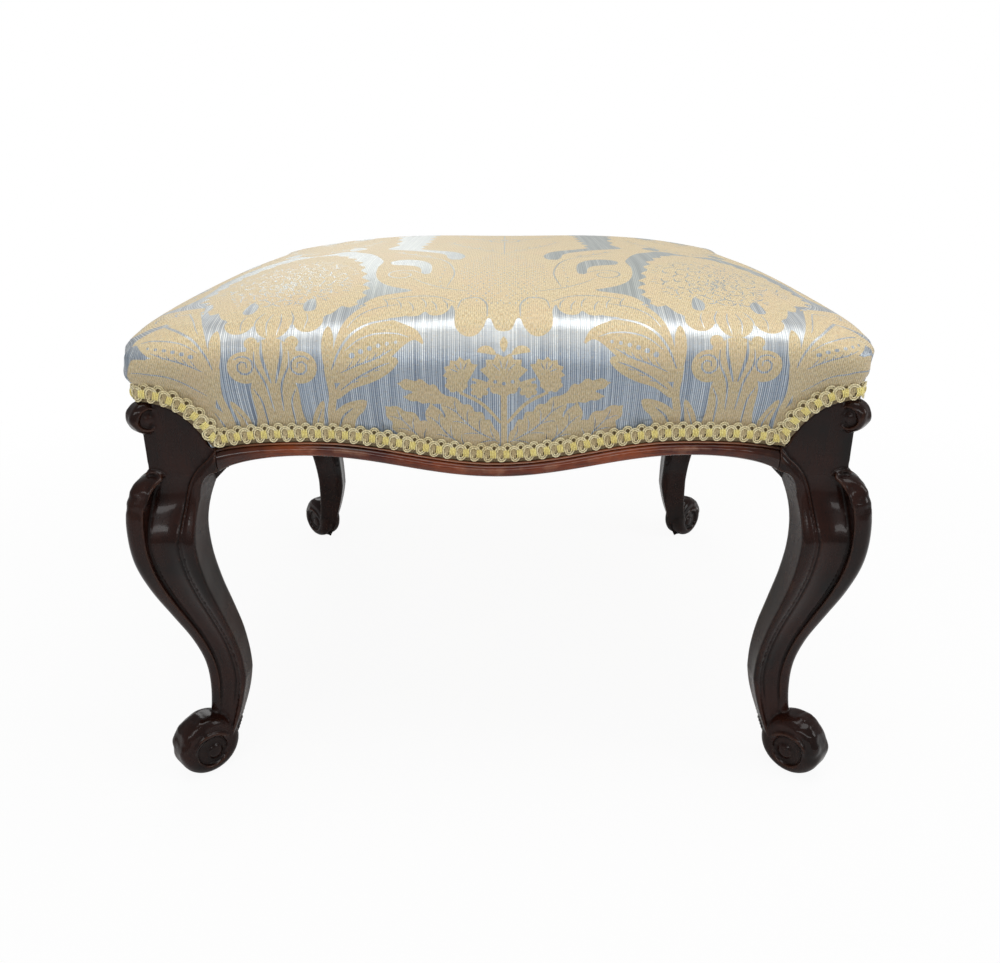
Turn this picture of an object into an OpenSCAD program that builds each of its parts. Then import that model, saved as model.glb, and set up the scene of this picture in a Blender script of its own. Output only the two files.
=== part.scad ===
// Square upholstered footstool on four cabriole legs with scroll toes.
// Millimetres, Z up, origin on the floor under the middle of the seat, front towards -Y.

/* [Legs] */
// Width over the flat stiles of two neighbouring legs
stile_span = 447; // [400:1:520]
// Height of the top of the leg's show face
leg_h = 280; // [262:1:320]
// Side of the square post that takes the rails
post_w = 45.5; // [42:0.5:50]
// Height of the fullest point of the knee
knee_z = 190; // [175:1:200]
// How far the knee's corner stands out past the stile's corner, on the diagonal
knee_out = 22; // [10:0.5:28]
// Height at which the knee's rib ends under the stile
rib_top = 231; // [222:1:235]
// Height of the thinnest point of the ankle
ankle_z = 69; // [62:1:85]
// How far the ankle's corner is set in from the stile's corner, on the diagonal
ankle_in = 20; // [8:0.5:26]
// Width of each moulded face at the knee
knee_w = 43.5; // [38:0.5:46]
// Width of each moulded face at the ankle
ankle_w = 26.5; // [22:0.5:32]
// Depth of the hollow carved down each face, at the knee
cove_d = 5; // [2:0.5:7]
// Radius of the round that ends the stile's face against the seat
shield_r = 40.5; // [36:0.5:43]
// Radius of the small scroll at the stile's top corner
ear_r = 10.3; // [7:0.1:10.4]
// Width of that scroll across the diagonal
ear_w = 13; // [9:0.5:14]
// Radius of the scroll that forms the toe
toe_r = 22.5; // [19:0.5:27]
// Width of the toe across the diagonal
toe_w = 24.5; // [20:0.5:32]
// How far the toe scroll's centre is set in from the stile's corner, on the diagonal
toe_in = 12; // [6:0.5:20]
// Depth of the flat that wear has left under each toe
sole_flat = 0.5; // [0.3:0.1:1.5]

/* [Rails] */
// Thickness of a seat rail
rail_t = 24; // [20:0.5:28]
// How far the rails stand above the leg's show face, under the stuffing
rail_rise = 6; // [4:0.5:12]
// How far the tacking face of rails and posts lies behind the stile's face
rebate = 4.5; // [4:0.1:6]
// Height from the apron's moulded edge in the middle up to the top of the show face
apron_mid = 41; // [34:0.5:48]
// How much higher the apron's waves are than its middle
apron_wave = 14; // [4:0.5:18]
// Distance from the middle to the top of each wave
wave_x = 116; // [90:1:130]
// Height of the moulding that edges the apron
mould_h = 8.8; // [6:0.2:11]
// How far the moulding's nose stands out past the stile's face
mould_out = 2.5; // [1:0.1:4]
// Depth of the moulding from nose to back
mould_d = 19; // [14:0.5:22]
// Diameter of the dowels between rails and posts
dowel_d = 10; // [8:0.5:11]
// Length of a dowel
dowel_len = 38; // [30:1:40]
// Side of a corner block along the rail
block_side = 84; // [76:1:96]
// Height of a corner block
block_h = 24; // [18:1:26]
// Diameter of a corner block screw
screw_d = 4; // [3:0.1:4.4]
// Length of a corner block screw
screw_len = 38; // [34:1:42]

/* [Seat] */
// Number of webbing straps each way
web_n = 4; // [3:1:5]
// Width of a webbing strap
web_w = 50; // [40:1:54]
// Thickness of a webbing strap
web_t = 1.8; // [1.2:0.1:2.4]
// Thickness of the hessian over the webbing
hessian_t = 1; // [0.8:0.1:1.6]
// Diameter of a tack's head
tack_d = 8; // [6:0.5:10]
// How far the seat at its fullest stands out past the stiles, on each side
seat_out = 10; // [8.5:0.5:16.5]
// Height of the seat's fullest line above the leg's show face
seat_full = 27.6; // [22:0.2:32]
// Height of the seat's rounded top edge above its fullest line
roll_h = 24.4; // [18:0.2:30]
// Distance that the rounded top edge runs in from the fullest line
roll_in = 25; // [20:0.5:34]
// Rise of the crown from the rounded edge to the middle of the seat
crown_h = 23; // [10:0.5:34]
// How much lower the roll stands where the cover is pulled down at a corner
corner_drop = 8; // [0:0.5:12]
// Corner radius of the seat in plan at its fullest
seat_corner = 24; // [18:0.5:32]
// Thickness of the damask cover
cover_t = 1.5; // [1:0.1:2]
// Width of the gimp braid
gimp_w = 13.4; // [11:0.1:15]
// Thickness of the gimp braid
gimp_t = 2.5; // [1.5:0.1:3]

/* [Hidden] */

walnut = [0.20, 0.11, 0.08];
apron_brown = [0.42, 0.20, 0.12];
beech = [0.80, 0.66, 0.46];
// Play between glued flat faces, and between soft layers
glue = 0.1;
lay = 0.3;

stile = stile_span / 2;
face = stile - rebate;
post_in = stile - post_w;
rail_in = face - rail_t;
rail_top = leg_h + rail_rise;
diag = sqrt(2);
corner_u = stile * diag;
inner_post_u = post_in * diag;

function ease(t) = (1 - cos(180 * max(0, min(1, t)))) / 2;
function mix(a, b, t) = a + (b - a) * t;

// Leg shaft: distance out along the diagonal of the outer corner and of the inner edge
knee_in_z = knee_z - 6;
ankle_back_z = ankle_z + 6;
knee_depth = 55;
ankle_depth = 33.6;
heel_sweep = 26.5;
toe_sweep = 16;
sole_w = 12;
lap = 1.5;
function outer_u(z) = z >= rib_top ? corner_u
    : z >= knee_z ? corner_u + knee_out * pow(1 - pow((z - knee_z) / (rib_top - knee_z), 2.5), 0.4)
    : z >= ankle_z ? mix(corner_u - ankle_in, corner_u + knee_out, ease((z - ankle_z) / (knee_z - ankle_z)))
    : corner_u - ankle_in + toe_sweep * pow(1 - z / ankle_z, 2);
knee_back_u = corner_u + knee_out - knee_depth;
ankle_back_u = corner_u - ankle_in - ankle_depth;
fair_z = rib_top - 6;
function inner_u(z) = z >= fair_z ? inner_post_u
    : z >= knee_in_z ? knee_back_u
        - (knee_back_u - inner_post_u) * (1 - sqrt(1 - pow((z - knee_in_z) / (fair_z - knee_in_z), 2)))
    : z >= ankle_back_z ? mix(ankle_back_u, knee_back_u, ease((z - ankle_back_z) / (knee_in_z - ankle_back_z)))
    : ankle_back_u + heel_sweep * pow(1 - z / ankle_back_z, 2);
function face_w(z) = z >= rib_top ? post_w
    : z >= knee_z ? mix(knee_w, post_w, ease((z - knee_z) / (rib_top - knee_z)))
    : z >= ankle_z ? mix(ankle_w, knee_w, ease((z - ankle_z) / (knee_z - ankle_z)))
    : mix(sole_w, ankle_w, pow(z / ankle_z, 0.75));
function hollow(z) = cove_d * (z >= knee_z ? 1 - pow((z - knee_z) / (rib_top - knee_z), 2)
    : 0.2 + 0.8 * ease((z - ankle_z / 2) / (knee_z - ankle_z / 2)));
function bead_set(z) = z >= knee_z ? mix(0.7 * hollow(knee_z), -mould_out, ease((z - knee_z) / (rib_top - knee_z)))
    : 0.7 * hollow(z);

// Half of a shaft section as [along the face from the corner, depth behind the face]
rib_part = 0.33;
band_part = 0.755;
// The hollow beside the rib fades into the stile's face lower down than the rib does
function hollow_set(z) = z >= rib_top ? 0
    : (outer_u(z) - outer_u(min(z, knee_z)) + knee_out * ease((z - knee_in_z) / (rib_top - knee_z))) / diag;
function half_section(z) = let(s = face_w(z), r = 0.17 * s, f = hollow_set(z), g = hollow(z), b = f + bead_set(z),
        cut = max(0.2, s - (outer_u(z) - inner_u(z)) / diag))
    [[0.617 * r, 0.076 * r], [r, 0], [rib_part * s - 0.3 * r, 0.05 * g],
    [rib_part * s, f + 0.9 * g], [0.45 * s, f + 1.1 * g], [0.62 * s, f + g], [band_part * s - 0.6, f + 0.75 * g],
    [band_part * s + 0.4, b], [0.86 * s, b - 0.6], [0.95 * s, b + 0.3], [s, b + 0.07 * s],
    [s, s - 2.4 * cut], [s - 0.6 * cut, s - 1.1 * cut]];
function ring(z) = let(h = half_section(z), o = -outer_u(z) / diag, n = len(h), i = -inner_u(z) / diag,
        tip = o + 0.05 * face_w(z))
    concat([[tip, tip, z]],
        [for (p = h) [o + p[0], o + p[1], z]],
        [[i, i, z]],
        [for (k = [n - 1:-1:0]) [o + h[k][1], o + h[k][0], z]]);
foot_steps = 5;
shaft_steps = 11;
knee_steps = 8;
ring_z = concat([for (k = [0:foot_steps - 1]) ankle_z * k / foot_steps],
    [for (k = [0:shaft_steps - 1]) mix(ankle_z, knee_z, k / shaft_steps)],
    [for (k = [0:knee_steps]) knee_z + (rib_top - knee_z) * sin(90 * k / knee_steps)]);

// Closed skin over equal rings of points, with each end fanned out from its middle
function middle(loop) = [for (i = [0:2]) [for (p = loop) p[i]] * [for (p = loop) 1] / len(loop)];
module skin(loops) {
    n = len(loops[0]);
    ends = len(loops) * n;
    polyhedron(concat([for (l = loops) each l], [middle(loops[0]), middle(loops[len(loops) - 1])]),
        concat([for (k = [0:n - 1]) [k, (k + 1) % n, ends]],
        [for (r = [0:len(loops) - 2], k = [0:n - 1]) let(m = (k + 1) % n)
            each [[r * n + k, (r + 1) * n + m, r * n + m], [r * n + k, (r + 1) * n + k, (r + 1) * n + m]]],
        [for (k = [0:n - 1]) [ends - n + (k + 1) % n, ends - n + k, ends + 1]]));
}

module shaft() { skin([for (z = ring_z) ring(z)]); }

// A scroll's roll lying across the diagonal. Each end holds a sunk disc and a raised eye, given as
// [radius, how far in along the diagonal, how far up] from the roll's own middle.
module scroll(r, w, sunk, disc, eye) {
    rim = min(0.32 * r, w / 3);
    rotate([0, 0, 45]) rotate([90, 0, 0]) {
        difference() {
            rotate_extrude($fn = 48) intersection() {
                hull() {
                    for (s = [-1, 1]) translate([r - rim, s * (w / 2 - rim)]) circle(rim, $fn = 32);
                    translate([0, -w / 2]) square([r - rim, w]);
                }
                translate([0, -w]) square([2 * r, 2 * w]);
            }
            for (s = [-1, 1]) translate([disc[1], disc[2], s * w / 2]) cylinder(r = disc[0], h = 2 * sunk, center = true, $fn = 48);
        }
        translate([eye[1], eye[2], 0]) {
            cylinder(r = eye[0], h = w - sunk, center = true, $fn = 32);
            cylinder(r = 0.75 * eye[0], h = w - 0.5 * sunk, center = true, $fn = 32);
        }
    }
}

shield_x = stile - 1.5;
shield_z = leg_h - shield_r;
apron_z = leg_h - apron_mid;
wave_fall = 4;
// Upper line of the moulding, and its lower line
function apron_top(x) = let(a = abs(x)) a < wave_x ? apron_z + apron_wave * ease(a / wave_x)
    : apron_z + apron_wave - wave_fall * pow((a - wave_x) / (post_in - wave_x), 3);
arch_x = 60;
arch_z = 24;
function apron_low(x) = let(a = abs(x), w = post_in + 4 - arch_x)
    apron_z - mould_h + (a < w ? (apron_wave + 0.5) * ease(a / w)
        : apron_wave + 0.5 - arch_z * (1 - sqrt(1 - pow((a - w) / arch_x, 2))));
// Where the seat's lower line turns from the moulding on to the round of the stile's face
function turn_x(off) = shield_x - sqrt(pow(shield_r + off, 2) - pow(apron_top(post_in) + off - shield_z, 2));
arc_steps = 10;
rail_steps = 24;
rail_x = [for (k = [0:rail_steps]) mix(-post_in, post_in, k / rail_steps)];
// The seat's lower line from the middle to the corner, moved out from the show wood by off
function seat_line(off, end_x) = let(t = turn_x(off), a0 = asin((shield_x - t) / (shield_r + off)))
    concat([for (k = [0:rail_steps / 2]) let(x = t * k / (rail_steps / 2)) [x, apron_top(x) + off]],
        [for (k = [1:arc_steps]) let(a = a0 * (1 - k / arc_steps))
            [shield_x - (shield_r + off) * sin(a), shield_z + (shield_r + off) * cos(a)]],
        [[end_x, shield_z + shield_r + off]]);
function mirrored(line) = concat([for (k = [len(line) - 1:-1:1]) [-line[k][0], line[k][1]]], line);

// Lays a drawing of a side, X across and Y up, on the front with its back at depth y
module on_front(y, t) { translate([0, y, 0]) rotate([90, 0, 0]) linear_extrude(t) children(); }

// Show face of the post, seen from the front, up to the seat's lower line
module shield_outline() {
    polygon([for (p = concat([[stile, rib_top - lap], [stile, leg_h]],
        [for (k = [len(seat_line(0, stile)) - 2:-1:rail_steps / 2]) seat_line(0, stile)[k]],
        [[post_in, apron_top(post_in)], [post_in, rib_top - lap]])) [-p[0], p[1]]]);
}
// Bead that leaves the shaft and runs up to the apron's moulding, as parts of the post and of the knee's rise
knee_rise = rib_top - knee_z;
function on_post(across, up) = [post_in + across * post_w, rib_top + up * knee_rise];
bead_from = on_post(0.505, -0.27);
bead_by = on_post(0.395, 0.17);
module shoulder_bead() {
    to = [post_in, apron_top(post_in)];
    polygon([for (p = concat(
        [for (t = [0:0.125:1]) bead_from * pow(1 - t, 2) + bead_by * 2 * t * (1 - t) + to * t * t],
        [[post_in, apron_low(post_in)], on_post(0.11, -0.1), on_post(0.21, -0.29)]))
        [-p[0], p[1]]]);
}
post_round = 5;
// Square of side w at a frame corner, with its outer corner rounded
module corner_square(w, r) {
    difference() {
        square(w);
        difference() {
            translate([-1, -1]) square(r + 1);
            translate([r, r]) circle(r, $fn = 32);
        }
    }
}
module post() {
    translate([-face, -face, rib_top - lap]) linear_extrude(leg_h - rib_top + lap) square(face - post_in);
    translate([-face, -face, leg_h - lap]) linear_extrude(rail_rise + lap) corner_square(face - post_in, post_round);
}

// Dowels lie in the middle of the rail's thickness, at two heights
dowel_y = face - rail_t / 2;
dowel_z = [mix(apron_top(post_in), rail_top, 0.26), mix(apron_top(post_in), rail_top, 0.74)];
module dowel_pair(d, len) {
    for (z = dowel_z) translate([-post_in - len / 2, -dowel_y, z]) rotate([0, 90, 0]) cylinder(d = d, h = len, $fn = 32);
}
module across() { mirror([1, -1, 0]) children(); }
ear_in = 3;
ear_drop = 0.2;
module on_diagonal(u, z) { translate([-u / diag, -u / diag, z]) children(); }

module leg() {
    color(walnut) difference() {
        union() {
            shaft();
            post();
            for (side = [0, 1]) mirror([side, -side, 0]) {
                on_front(-face + 0.01, rebate + 0.01) shield_outline();
                on_front(-face, rebate + mould_out) shoulder_bead();
            }
            on_diagonal(corner_u - ear_in, leg_h - ear_drop - ear_r)
                scroll(ear_r, ear_w, 0.12 * ear_w, [0.63 * ear_r, 0, -0.05 * ear_r], [0.29 * ear_r, 0.05 * ear_r, -0.1 * ear_r]);
            on_diagonal(corner_u - toe_in, toe_r - sole_flat)
                scroll(toe_r, toe_w, 0.1 * toe_w, [0.48 * toe_r, -0.02 * toe_r, -0.15 * toe_r], [0.23 * toe_r, 0.06 * toe_r, -0.21 * toe_r]);
        }
        translate([-2 * stile, -2 * stile, -toe_r]) cube([2 * stile, 2 * stile, toe_r]);
        for (side = [0, 1]) mirror([side, -side, 0]) dowel_pair(dowel_d + 2 * glue, dowel_len + 2 * lay);
    }
}

// The front left leg is the pattern, and the others are turned from it
module turned(k) { rotate([0, 0, 90 * k]) children(); }

module leg_front_left() { leg(); }
module leg_front_right() { turned(1) leg(); }
module leg_rear_right() { turned(2) leg(); }
module leg_rear_left() { turned(3) leg(); }

// Screws go square through a block's long face and at 45 degrees into the rails
screw_at = 20;
block_z = rail_top - 3 - block_h;
head_h = 2.4;
module block_screw(d, len) {
    for (side = [0, 1]) mirror([side, -side, 0])
        translate([-rail_in + block_side - screw_at, -rail_in + screw_at + glue, block_z + block_h / 2])
            rotate([0, 0, 45]) rotate([0, -90, 0]) {
                cylinder(d = d, h = len, $fn = 32);
                cylinder(d1 = 2 * d, d2 = d, h = head_h, $fn = 32);
            }
}

// Webbing: straps side by side, each over and under the ones that cross it
web_gap = (2 * rail_in - web_n * web_w) / (web_n + 1);
web_at = [for (k = [0:web_n - 1]) -rail_in + web_gap + web_w / 2 + k * (web_gap + web_w)];
strap_end = face - rail_t / 6;
fold_len = 0.4 * web_w;
fold_in = strap_end - fold_len;
strap_z = rail_top + glue;
tack_at = strap_end - 0.45 * fold_len;
tack_pitch = 0.56 * web_w;
tack_head = 0.125 * tack_d;
tack_len = 2 * web_t + 1.375 * tack_d;
shank_d = 0.2 * tack_d;
weave = (web_t + lay) / 2;
function strap_path(k, sense) = concat([[-strap_end, 0], [-fold_in, 0]],
    [for (j = [0:web_n - 1], s = [-1, 1])
        [web_at[j] + s * (web_w / 2 + 2), (j + k) % 2 == 0 ? sense * weave : -sense * weave]],
    [[fold_in, 0], [strap_end, 0]]);
module tack_places() {
    for (y = web_at, s = [-1, 1], p = [-0.5, 0.5]) translate([s * tack_at, y + p * tack_pitch, strap_z]) children();
}
module straps(sense) {
    difference() {
        for (k = [0:web_n - 1]) let(p = strap_path(k, sense), n = len(p))
            translate([0, web_at[k] + web_w / 2, strap_z]) rotate([90, 0, 0]) linear_extrude(web_w)
                polygon(concat([for (q = p) q], [for (i = [n - 1:-1:0]) each
                    i == n - 2 ? [[fold_in, 2 * web_t], [fold_in, web_t]]
                    : i == 1 ? [[-fold_in, web_t], [-fold_in, 2 * web_t]]
                    : i == 0 || i == n - 1 ? [[p[i][0], 2 * web_t]] : [[p[i][0], p[i][1] + web_t]]]));
        tack_places() translate([0, 0, -web_t]) cylinder(d = shank_d + 2 * glue, h = 4 * web_t, $fn = 16);
    }
}
module webbing_lengthwise() { color("tan") straps(1); }
module webbing_crosswise() { color("tan") across() straps(-1); }
module webbing_tacks() {
    color([0.25, 0.27, 0.30]) for (side = [0, 1]) mirror([side, -side, 0]) tack_places() {
        translate([0, 0, 2 * web_t]) cylinder(d1 = tack_d, d2 = tack_d / 2, h = tack_head, $fn = 24);
        translate([0, 0, 2 * web_t - tack_len]) cylinder(d1 = 0.3 * shank_d, d2 = shank_d, h = tack_len, $fn = 16);
    }
}

module rail() {
    end = post_in - glue;
    color(beech) difference() {
        on_front(-rail_in, rail_t) polygon(concat([[end, rail_top], [-end, rail_top]],
            [for (x = rail_x) [x * end / post_in, apron_top(x)]]));
        for (s = [0, 1]) mirror([s, 0, 0]) {
            dowel_pair(dowel_d + 2 * glue, dowel_len + 2 * lay);
            block_screw(screw_d + 2 * glue, screw_len + lay);
        }
        across() tack_places() translate([0, 0, -tack_len]) cylinder(d = shank_d + 2 * glue, h = tack_len, $fn = 16);
    }
}
module rail_front() { rail(); }
module rail_right() { turned(1) rail(); }
module rail_rear() { turned(2) rail(); }
module rail_left() { turned(3) rail(); }

// Moulding swept along the apron's wave, with a rounded nose
nose_y = -stile - mould_out;
function mould_ring(x) = let(b = apron_low(x), t = apron_top(x) - glue, h = t - b)
    [for (q = [[2.4, 1], [0.8, 0.86], [0, 0.6], [0.2, 0.36], [1.4, 0.13], [3.6, 0], [mould_d, 0], [mould_d, 1]])
        [x * (post_in - glue) / post_in, nose_y + q[0], b + q[1] * h]];
module apron_moulding() {
    color(apron_brown) skin([for (x = rail_x) mould_ring(x)]);
}
module apron_moulding_front() { apron_moulding(); }
module apron_moulding_right() { turned(1) apron_moulding(); }
module apron_moulding_rear() { turned(2) apron_moulding(); }
module apron_moulding_left() { turned(3) apron_moulding(); }

module corner_block() {
    n = rail_in - post_in + glue;
    color(beech) difference() {
        translate([-rail_in, -rail_in, block_z]) linear_extrude(block_h) polygon([[n, glue], [block_side, glue],
            [glue, block_side], [glue, n], [n, n]]);
        block_screw(screw_d + 2 * glue, screw_len);
    }
}
module corner_block_front_left() { corner_block(); }
module corner_block_front_right() { turned(1) corner_block(); }
module corner_block_rear_right() { turned(2) corner_block(); }
module corner_block_rear_left() { turned(3) corner_block(); }

module rail_dowels() {
    color("burlywood") for (k = [0:3]) turned(k) for (side = [0, 1]) mirror([side, -side, 0])
        dowel_pair(dowel_d, dowel_len);
}
module block_screws() {
    color("silver") for (k = [0:3]) turned(k) block_screw(screw_d, screw_len);
}

hessian_z = strap_z + 2 * web_t + tack_head + lay;
pad_z = hessian_z + hessian_t + lay;
module hessian() {
    w = face - 2;
    color([0.66, 0.52, 0.34]) translate([0, 0, hessian_z]) linear_extrude(hessian_t)
        for (k = [0:3]) rotate(90 * k) translate([-w, -w]) corner_square(w + glue, post_round);
}

// Soft seat: rings of points round the seat, from its lower edge up over the roll to the crown
full_z = leg_h + seat_full;
full_half = stile + seat_out;
base_half = face + lay + cover_t;
base_corner = post_round + lay + cover_t;
under_gimp = 0.6;
gimp_over = 1;
side_steps = 12;
corner_steps = 3;
per_side = side_steps + corner_steps;
around = 4 * per_side;
function along(m) = m > side_steps ? full_half : (full_half - seat_corner) * sin(90 * (2 * m / side_steps - 1));
// Height of the seat's lower line over a point x along a side, moved out by off
function low_z(x, off) = let(a = abs(x)) a < turn_x(off) ? apron_top(a) + off
    : shield_z + sqrt(pow(shield_r + off, 2) - pow(max(0, shield_x - a), 2));
function gimp_top(x) = min(low_z(x, gimp_w + gimp_over), pad_z - 2);
function bulge(x, z) = under_gimp + (full_half - base_half - under_gimp)
    * sin(90 * max(0, z - gimp_top(x)) / (full_z - gimp_top(x)));
// One point: height, half width and corner radius at place m along side k
function seat_point(k, m, z, h, r) = let(c = h - r, a = 90 * (m - side_steps) / corner_steps - 90,
        p = m > side_steps ? [c + r * cos(a), -c + r * sin(a)] : [c * sin(90 * (2 * m / side_steps - 1)), -h])
    [p[0] * cos(90 * k) - p[1] * sin(90 * k), p[0] * sin(90 * k) + p[1] * cos(90 * k), z];
roll_turns = [22, 45, 68];
crown_parts = [0.87, 0.62, 0.25];
crown_flat = 3.75;
roll_z = full_z + roll_h * sin(roll_turns[2]);
roll_half = full_half - roll_in * (1 - cos(roll_turns[2]));
function crown_part(x) = 1 - pow(abs(x) / roll_half, crown_flat);
function settled(p) = [p[0], p[1], p[2] - corner_drop * min(1, (p[2] - full_z) / (roll_z - full_z))
    * pow(abs(p[0] * p[1]) / pow(full_half, 2), 2.5)];
// Rings 0 and 1 lie under the gimp, 2 at the stuffing's base, 3 at the fullest line, then roll and crown
function seat_ring(i, off) = [for (k = [0:3], m = [0:per_side - 1]) let(x = along(m))
    i == 0 ? seat_point(k, m, low_z(x, gimp_over), base_half - off, base_corner - off)
    : i == 1 ? seat_point(k, m, gimp_top(x), base_half + under_gimp - off, base_corner - off)
    : i == 2 ? seat_point(k, m, pad_z, base_half + bulge(x, pad_z) - off, mix(base_corner, seat_corner, 0.3) - off)
    : i == 3 ? seat_point(k, m, full_z, full_half - off, seat_corner - off)
    : i < 7 ? let(a = roll_turns[i - 4]) settled(seat_point(k, m, full_z + (roll_h - off) * sin(a),
        full_half - roll_in + (roll_in - off) * cos(a), seat_corner - off * cos(a)))
    : let(q = crown_parts[i - 7], p = seat_point(k, m, 0, q * roll_half, mix(0.5 * roll_half, seat_corner, q) * q))
        settled([p[0], p[1], roll_z - off + crown_h * crown_part(p[0]) * crown_part(p[1])])];
last_ring = 6 + len(crown_parts);
module top_cover() {
    color([0.82, 0.74, 0.55]) skin(concat([for (i = [last_ring:-1:0]) seat_ring(i, cover_t)],
        [for (i = [0:last_ring]) seat_ring(i, 0)]));
}
module stuffing() {
    color([0.30, 0.25, 0.20]) skin([for (i = [2:last_ring]) seat_ring(i, cover_t + lay)]);
}
// Strip of wadding between the rails and the cover, closed round the seat
module side_wadding() {
    lift = 0.3;
    under = seat_ring(1, cover_t + lay);
    over = seat_ring(2, cover_t + lay);
    inner = [for (k = [0:3], m = [0:per_side - 1]) seat_point(k, m, 0, face + lay, post_round + lay)];
    points = [for (i = [0:around - 1]) let(a = mix(under[i], over[i], lift), b = mix(under[i], over[i], 0.98))
        each [a, b, [inner[i][0], inner[i][1], b[2]], [inner[i][0], inner[i][1], a[2]]]];
    faces = [for (i = [0:around - 1], s = [0:3]) let(j = (i + 1) % around, t = (s + 1) % 4)
        each [[4 * i + s, 4 * i + t, 4 * j + t], [4 * i + s, 4 * j + t, 4 * j + s]]];
    color("linen") polyhedron(points, faces);
}

// Braid round the lower line, mitred at the corners
gimp_back = base_half + under_gimp + lay;
module gimp() {
    reach = gimp_back + gimp_t;
    low = mirrored(seat_line(lay, reach));
    high = mirrored(seat_line(lay + gimp_w, reach));
    color([0.80, 0.75, 0.50]) for (k = [0:3]) turned(k) intersection() {
        on_front(-gimp_back, gimp_t) polygon(concat(low, [for (i = [len(high) - 1:-1:0]) high[i]]));
        linear_extrude(2 * leg_h) polygon([[0, 0], [-stile_span, -stile_span], [stile_span, -stile_span]]);
    }
}

leg_front_left();
leg_front_right();
leg_rear_right();
leg_rear_left();
rail_front();
rail_right();
rail_rear();
rail_left();
apron_moulding_front();
apron_moulding_right();
apron_moulding_rear();
apron_moulding_left();
corner_block_front_left();
corner_block_front_right();
corner_block_rear_right();
corner_block_rear_left();
rail_dowels();
block_screws();
webbing_lengthwise();
webbing_crosswise();
webbing_tacks();
hessian();
stuffing();
side_wadding();
top_cover();
gimp();
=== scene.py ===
import math
import random

import bpy
import bmesh
import numpy as np
from mathutils import Matrix, Vector, noise
from mathutils.geometry import delaunay_2d_cdt


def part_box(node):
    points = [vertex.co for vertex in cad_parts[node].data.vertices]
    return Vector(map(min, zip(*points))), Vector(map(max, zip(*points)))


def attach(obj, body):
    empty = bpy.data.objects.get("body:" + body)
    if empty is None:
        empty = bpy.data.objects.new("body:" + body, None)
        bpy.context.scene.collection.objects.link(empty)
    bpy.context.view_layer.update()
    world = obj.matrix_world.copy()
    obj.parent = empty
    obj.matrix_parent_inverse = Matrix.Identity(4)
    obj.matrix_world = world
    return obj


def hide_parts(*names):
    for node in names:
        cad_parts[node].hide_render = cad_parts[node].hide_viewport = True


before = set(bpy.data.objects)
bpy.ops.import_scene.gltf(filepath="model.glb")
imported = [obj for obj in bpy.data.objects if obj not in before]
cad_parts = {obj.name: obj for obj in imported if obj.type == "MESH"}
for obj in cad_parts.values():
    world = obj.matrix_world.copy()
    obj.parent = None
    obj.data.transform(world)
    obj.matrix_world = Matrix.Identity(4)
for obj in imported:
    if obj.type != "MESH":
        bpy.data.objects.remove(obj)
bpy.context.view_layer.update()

# A square footstool: four cabriole legs in dark polished walnut, a waved apron moulding,
# and a sprung-up seat in gold and silver-blue damask finished with a looped gimp.
# Sizes are in millimetres here and turn into metres when a mesh is made.
mm = 0.001
quarterTurns = {"front": 0, "right": 1, "rear": 2, "left": 3}
legTurns = {"front_left": 0, "front_right": 1, "rear_right": 2, "rear_left": 3}


def nodeBox(name):
    lo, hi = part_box(name)
    return np.array(lo) / mm, np.array(hi) / mm


railLo, railHi = nodeBox("rail_front")
mouldLo = nodeBox("apron_moulding_front")[0]
coverHi = nodeBox("top_cover")[1]

# The frame's own sizes, which every dressed piece follows
face = -railLo[1]
postIn = railHi[0] + 0.1
railTop = railHi[2]
nose = -mouldLo[1]
mouldOut = 2.5
stile = nose - mouldOut
legTop = railTop - 6.0


def ease(t):
    return (1 - np.cos(np.pi * np.clip(t, 0, 1))) / 2


def mix(a, b, t):
    return a + (b - a) * t


def smoothPath(points, count, closed=False):
    p = np.array(points, float)
    if closed:
        p = np.vstack([p[-1], p, p[0], p[1]])
    else:
        p = np.vstack([2 * p[0] - p[1], p, 2 * p[-1] - p[-2]])
    fine = []
    for i in range(1, len(p) - 2):
        t = np.linspace(0, 1, 12, endpoint=False)[:, None]
        a, b, c, d = p[i - 1], p[i], p[i + 1], p[i + 2]
        fine.append(0.5 * (2 * b + (c - a) * t + (2 * a - 5 * b + 4 * c - d) * t**2 + (3 * b - a - 3 * c + d) * t**3))
    fine = np.vstack(fine + [p[-2][None]])
    run = np.concatenate([[0], np.cumsum(np.linalg.norm(np.diff(fine, axis=0), axis=1))])
    at = np.linspace(0, run[-1], count, endpoint=not closed)
    return np.stack([np.interp(at, run, fine[:, k]) for k in range(p.shape[1])], 1)


def newObject(name, data):
    obj = bpy.data.objects.new(name, data)
    bpy.context.scene.collection.objects.link(obj)
    return obj


def makeMesh(name, verts, faces, material=None, smooth=True):
    mesh = bpy.data.meshes.new(name)
    mesh.from_pydata((np.asarray(verts, float) * mm).tolist(), [], faces)
    mesh.update()
    if smooth:
        mesh.polygons.foreach_set("use_smooth", [True] * len(mesh.polygons))
    if material:
        mesh.materials.append(material)
    return newObject(name, mesh)


# Coordinates in millimetres, or normals, of a mesh's points
def readPoints(mesh, what="co"):
    values = np.zeros(len(mesh.vertices) * 3)
    mesh.vertices.foreach_get(what, values)
    return values.reshape(-1, 3) / (mm if what == "co" else 1)


# Where each point lies on the flat cloth, kept as a UV map
def layUv(obj, place):
    layer = obj.data.uv_layers.new(name="cloth")
    corner = np.zeros(len(obj.data.loops), np.int64)
    obj.data.loops.foreach_get("vertex_index", corner)
    layer.data.foreach_set("uv", np.asarray(place, np.float32)[corner].ravel())


def turned(verts, k):
    v = np.array(verts, float)
    for _ in range(k % 4):
        v = np.stack([-v[:, 1], v[:, 0], v[:, 2]], 1)
    return v


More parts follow.
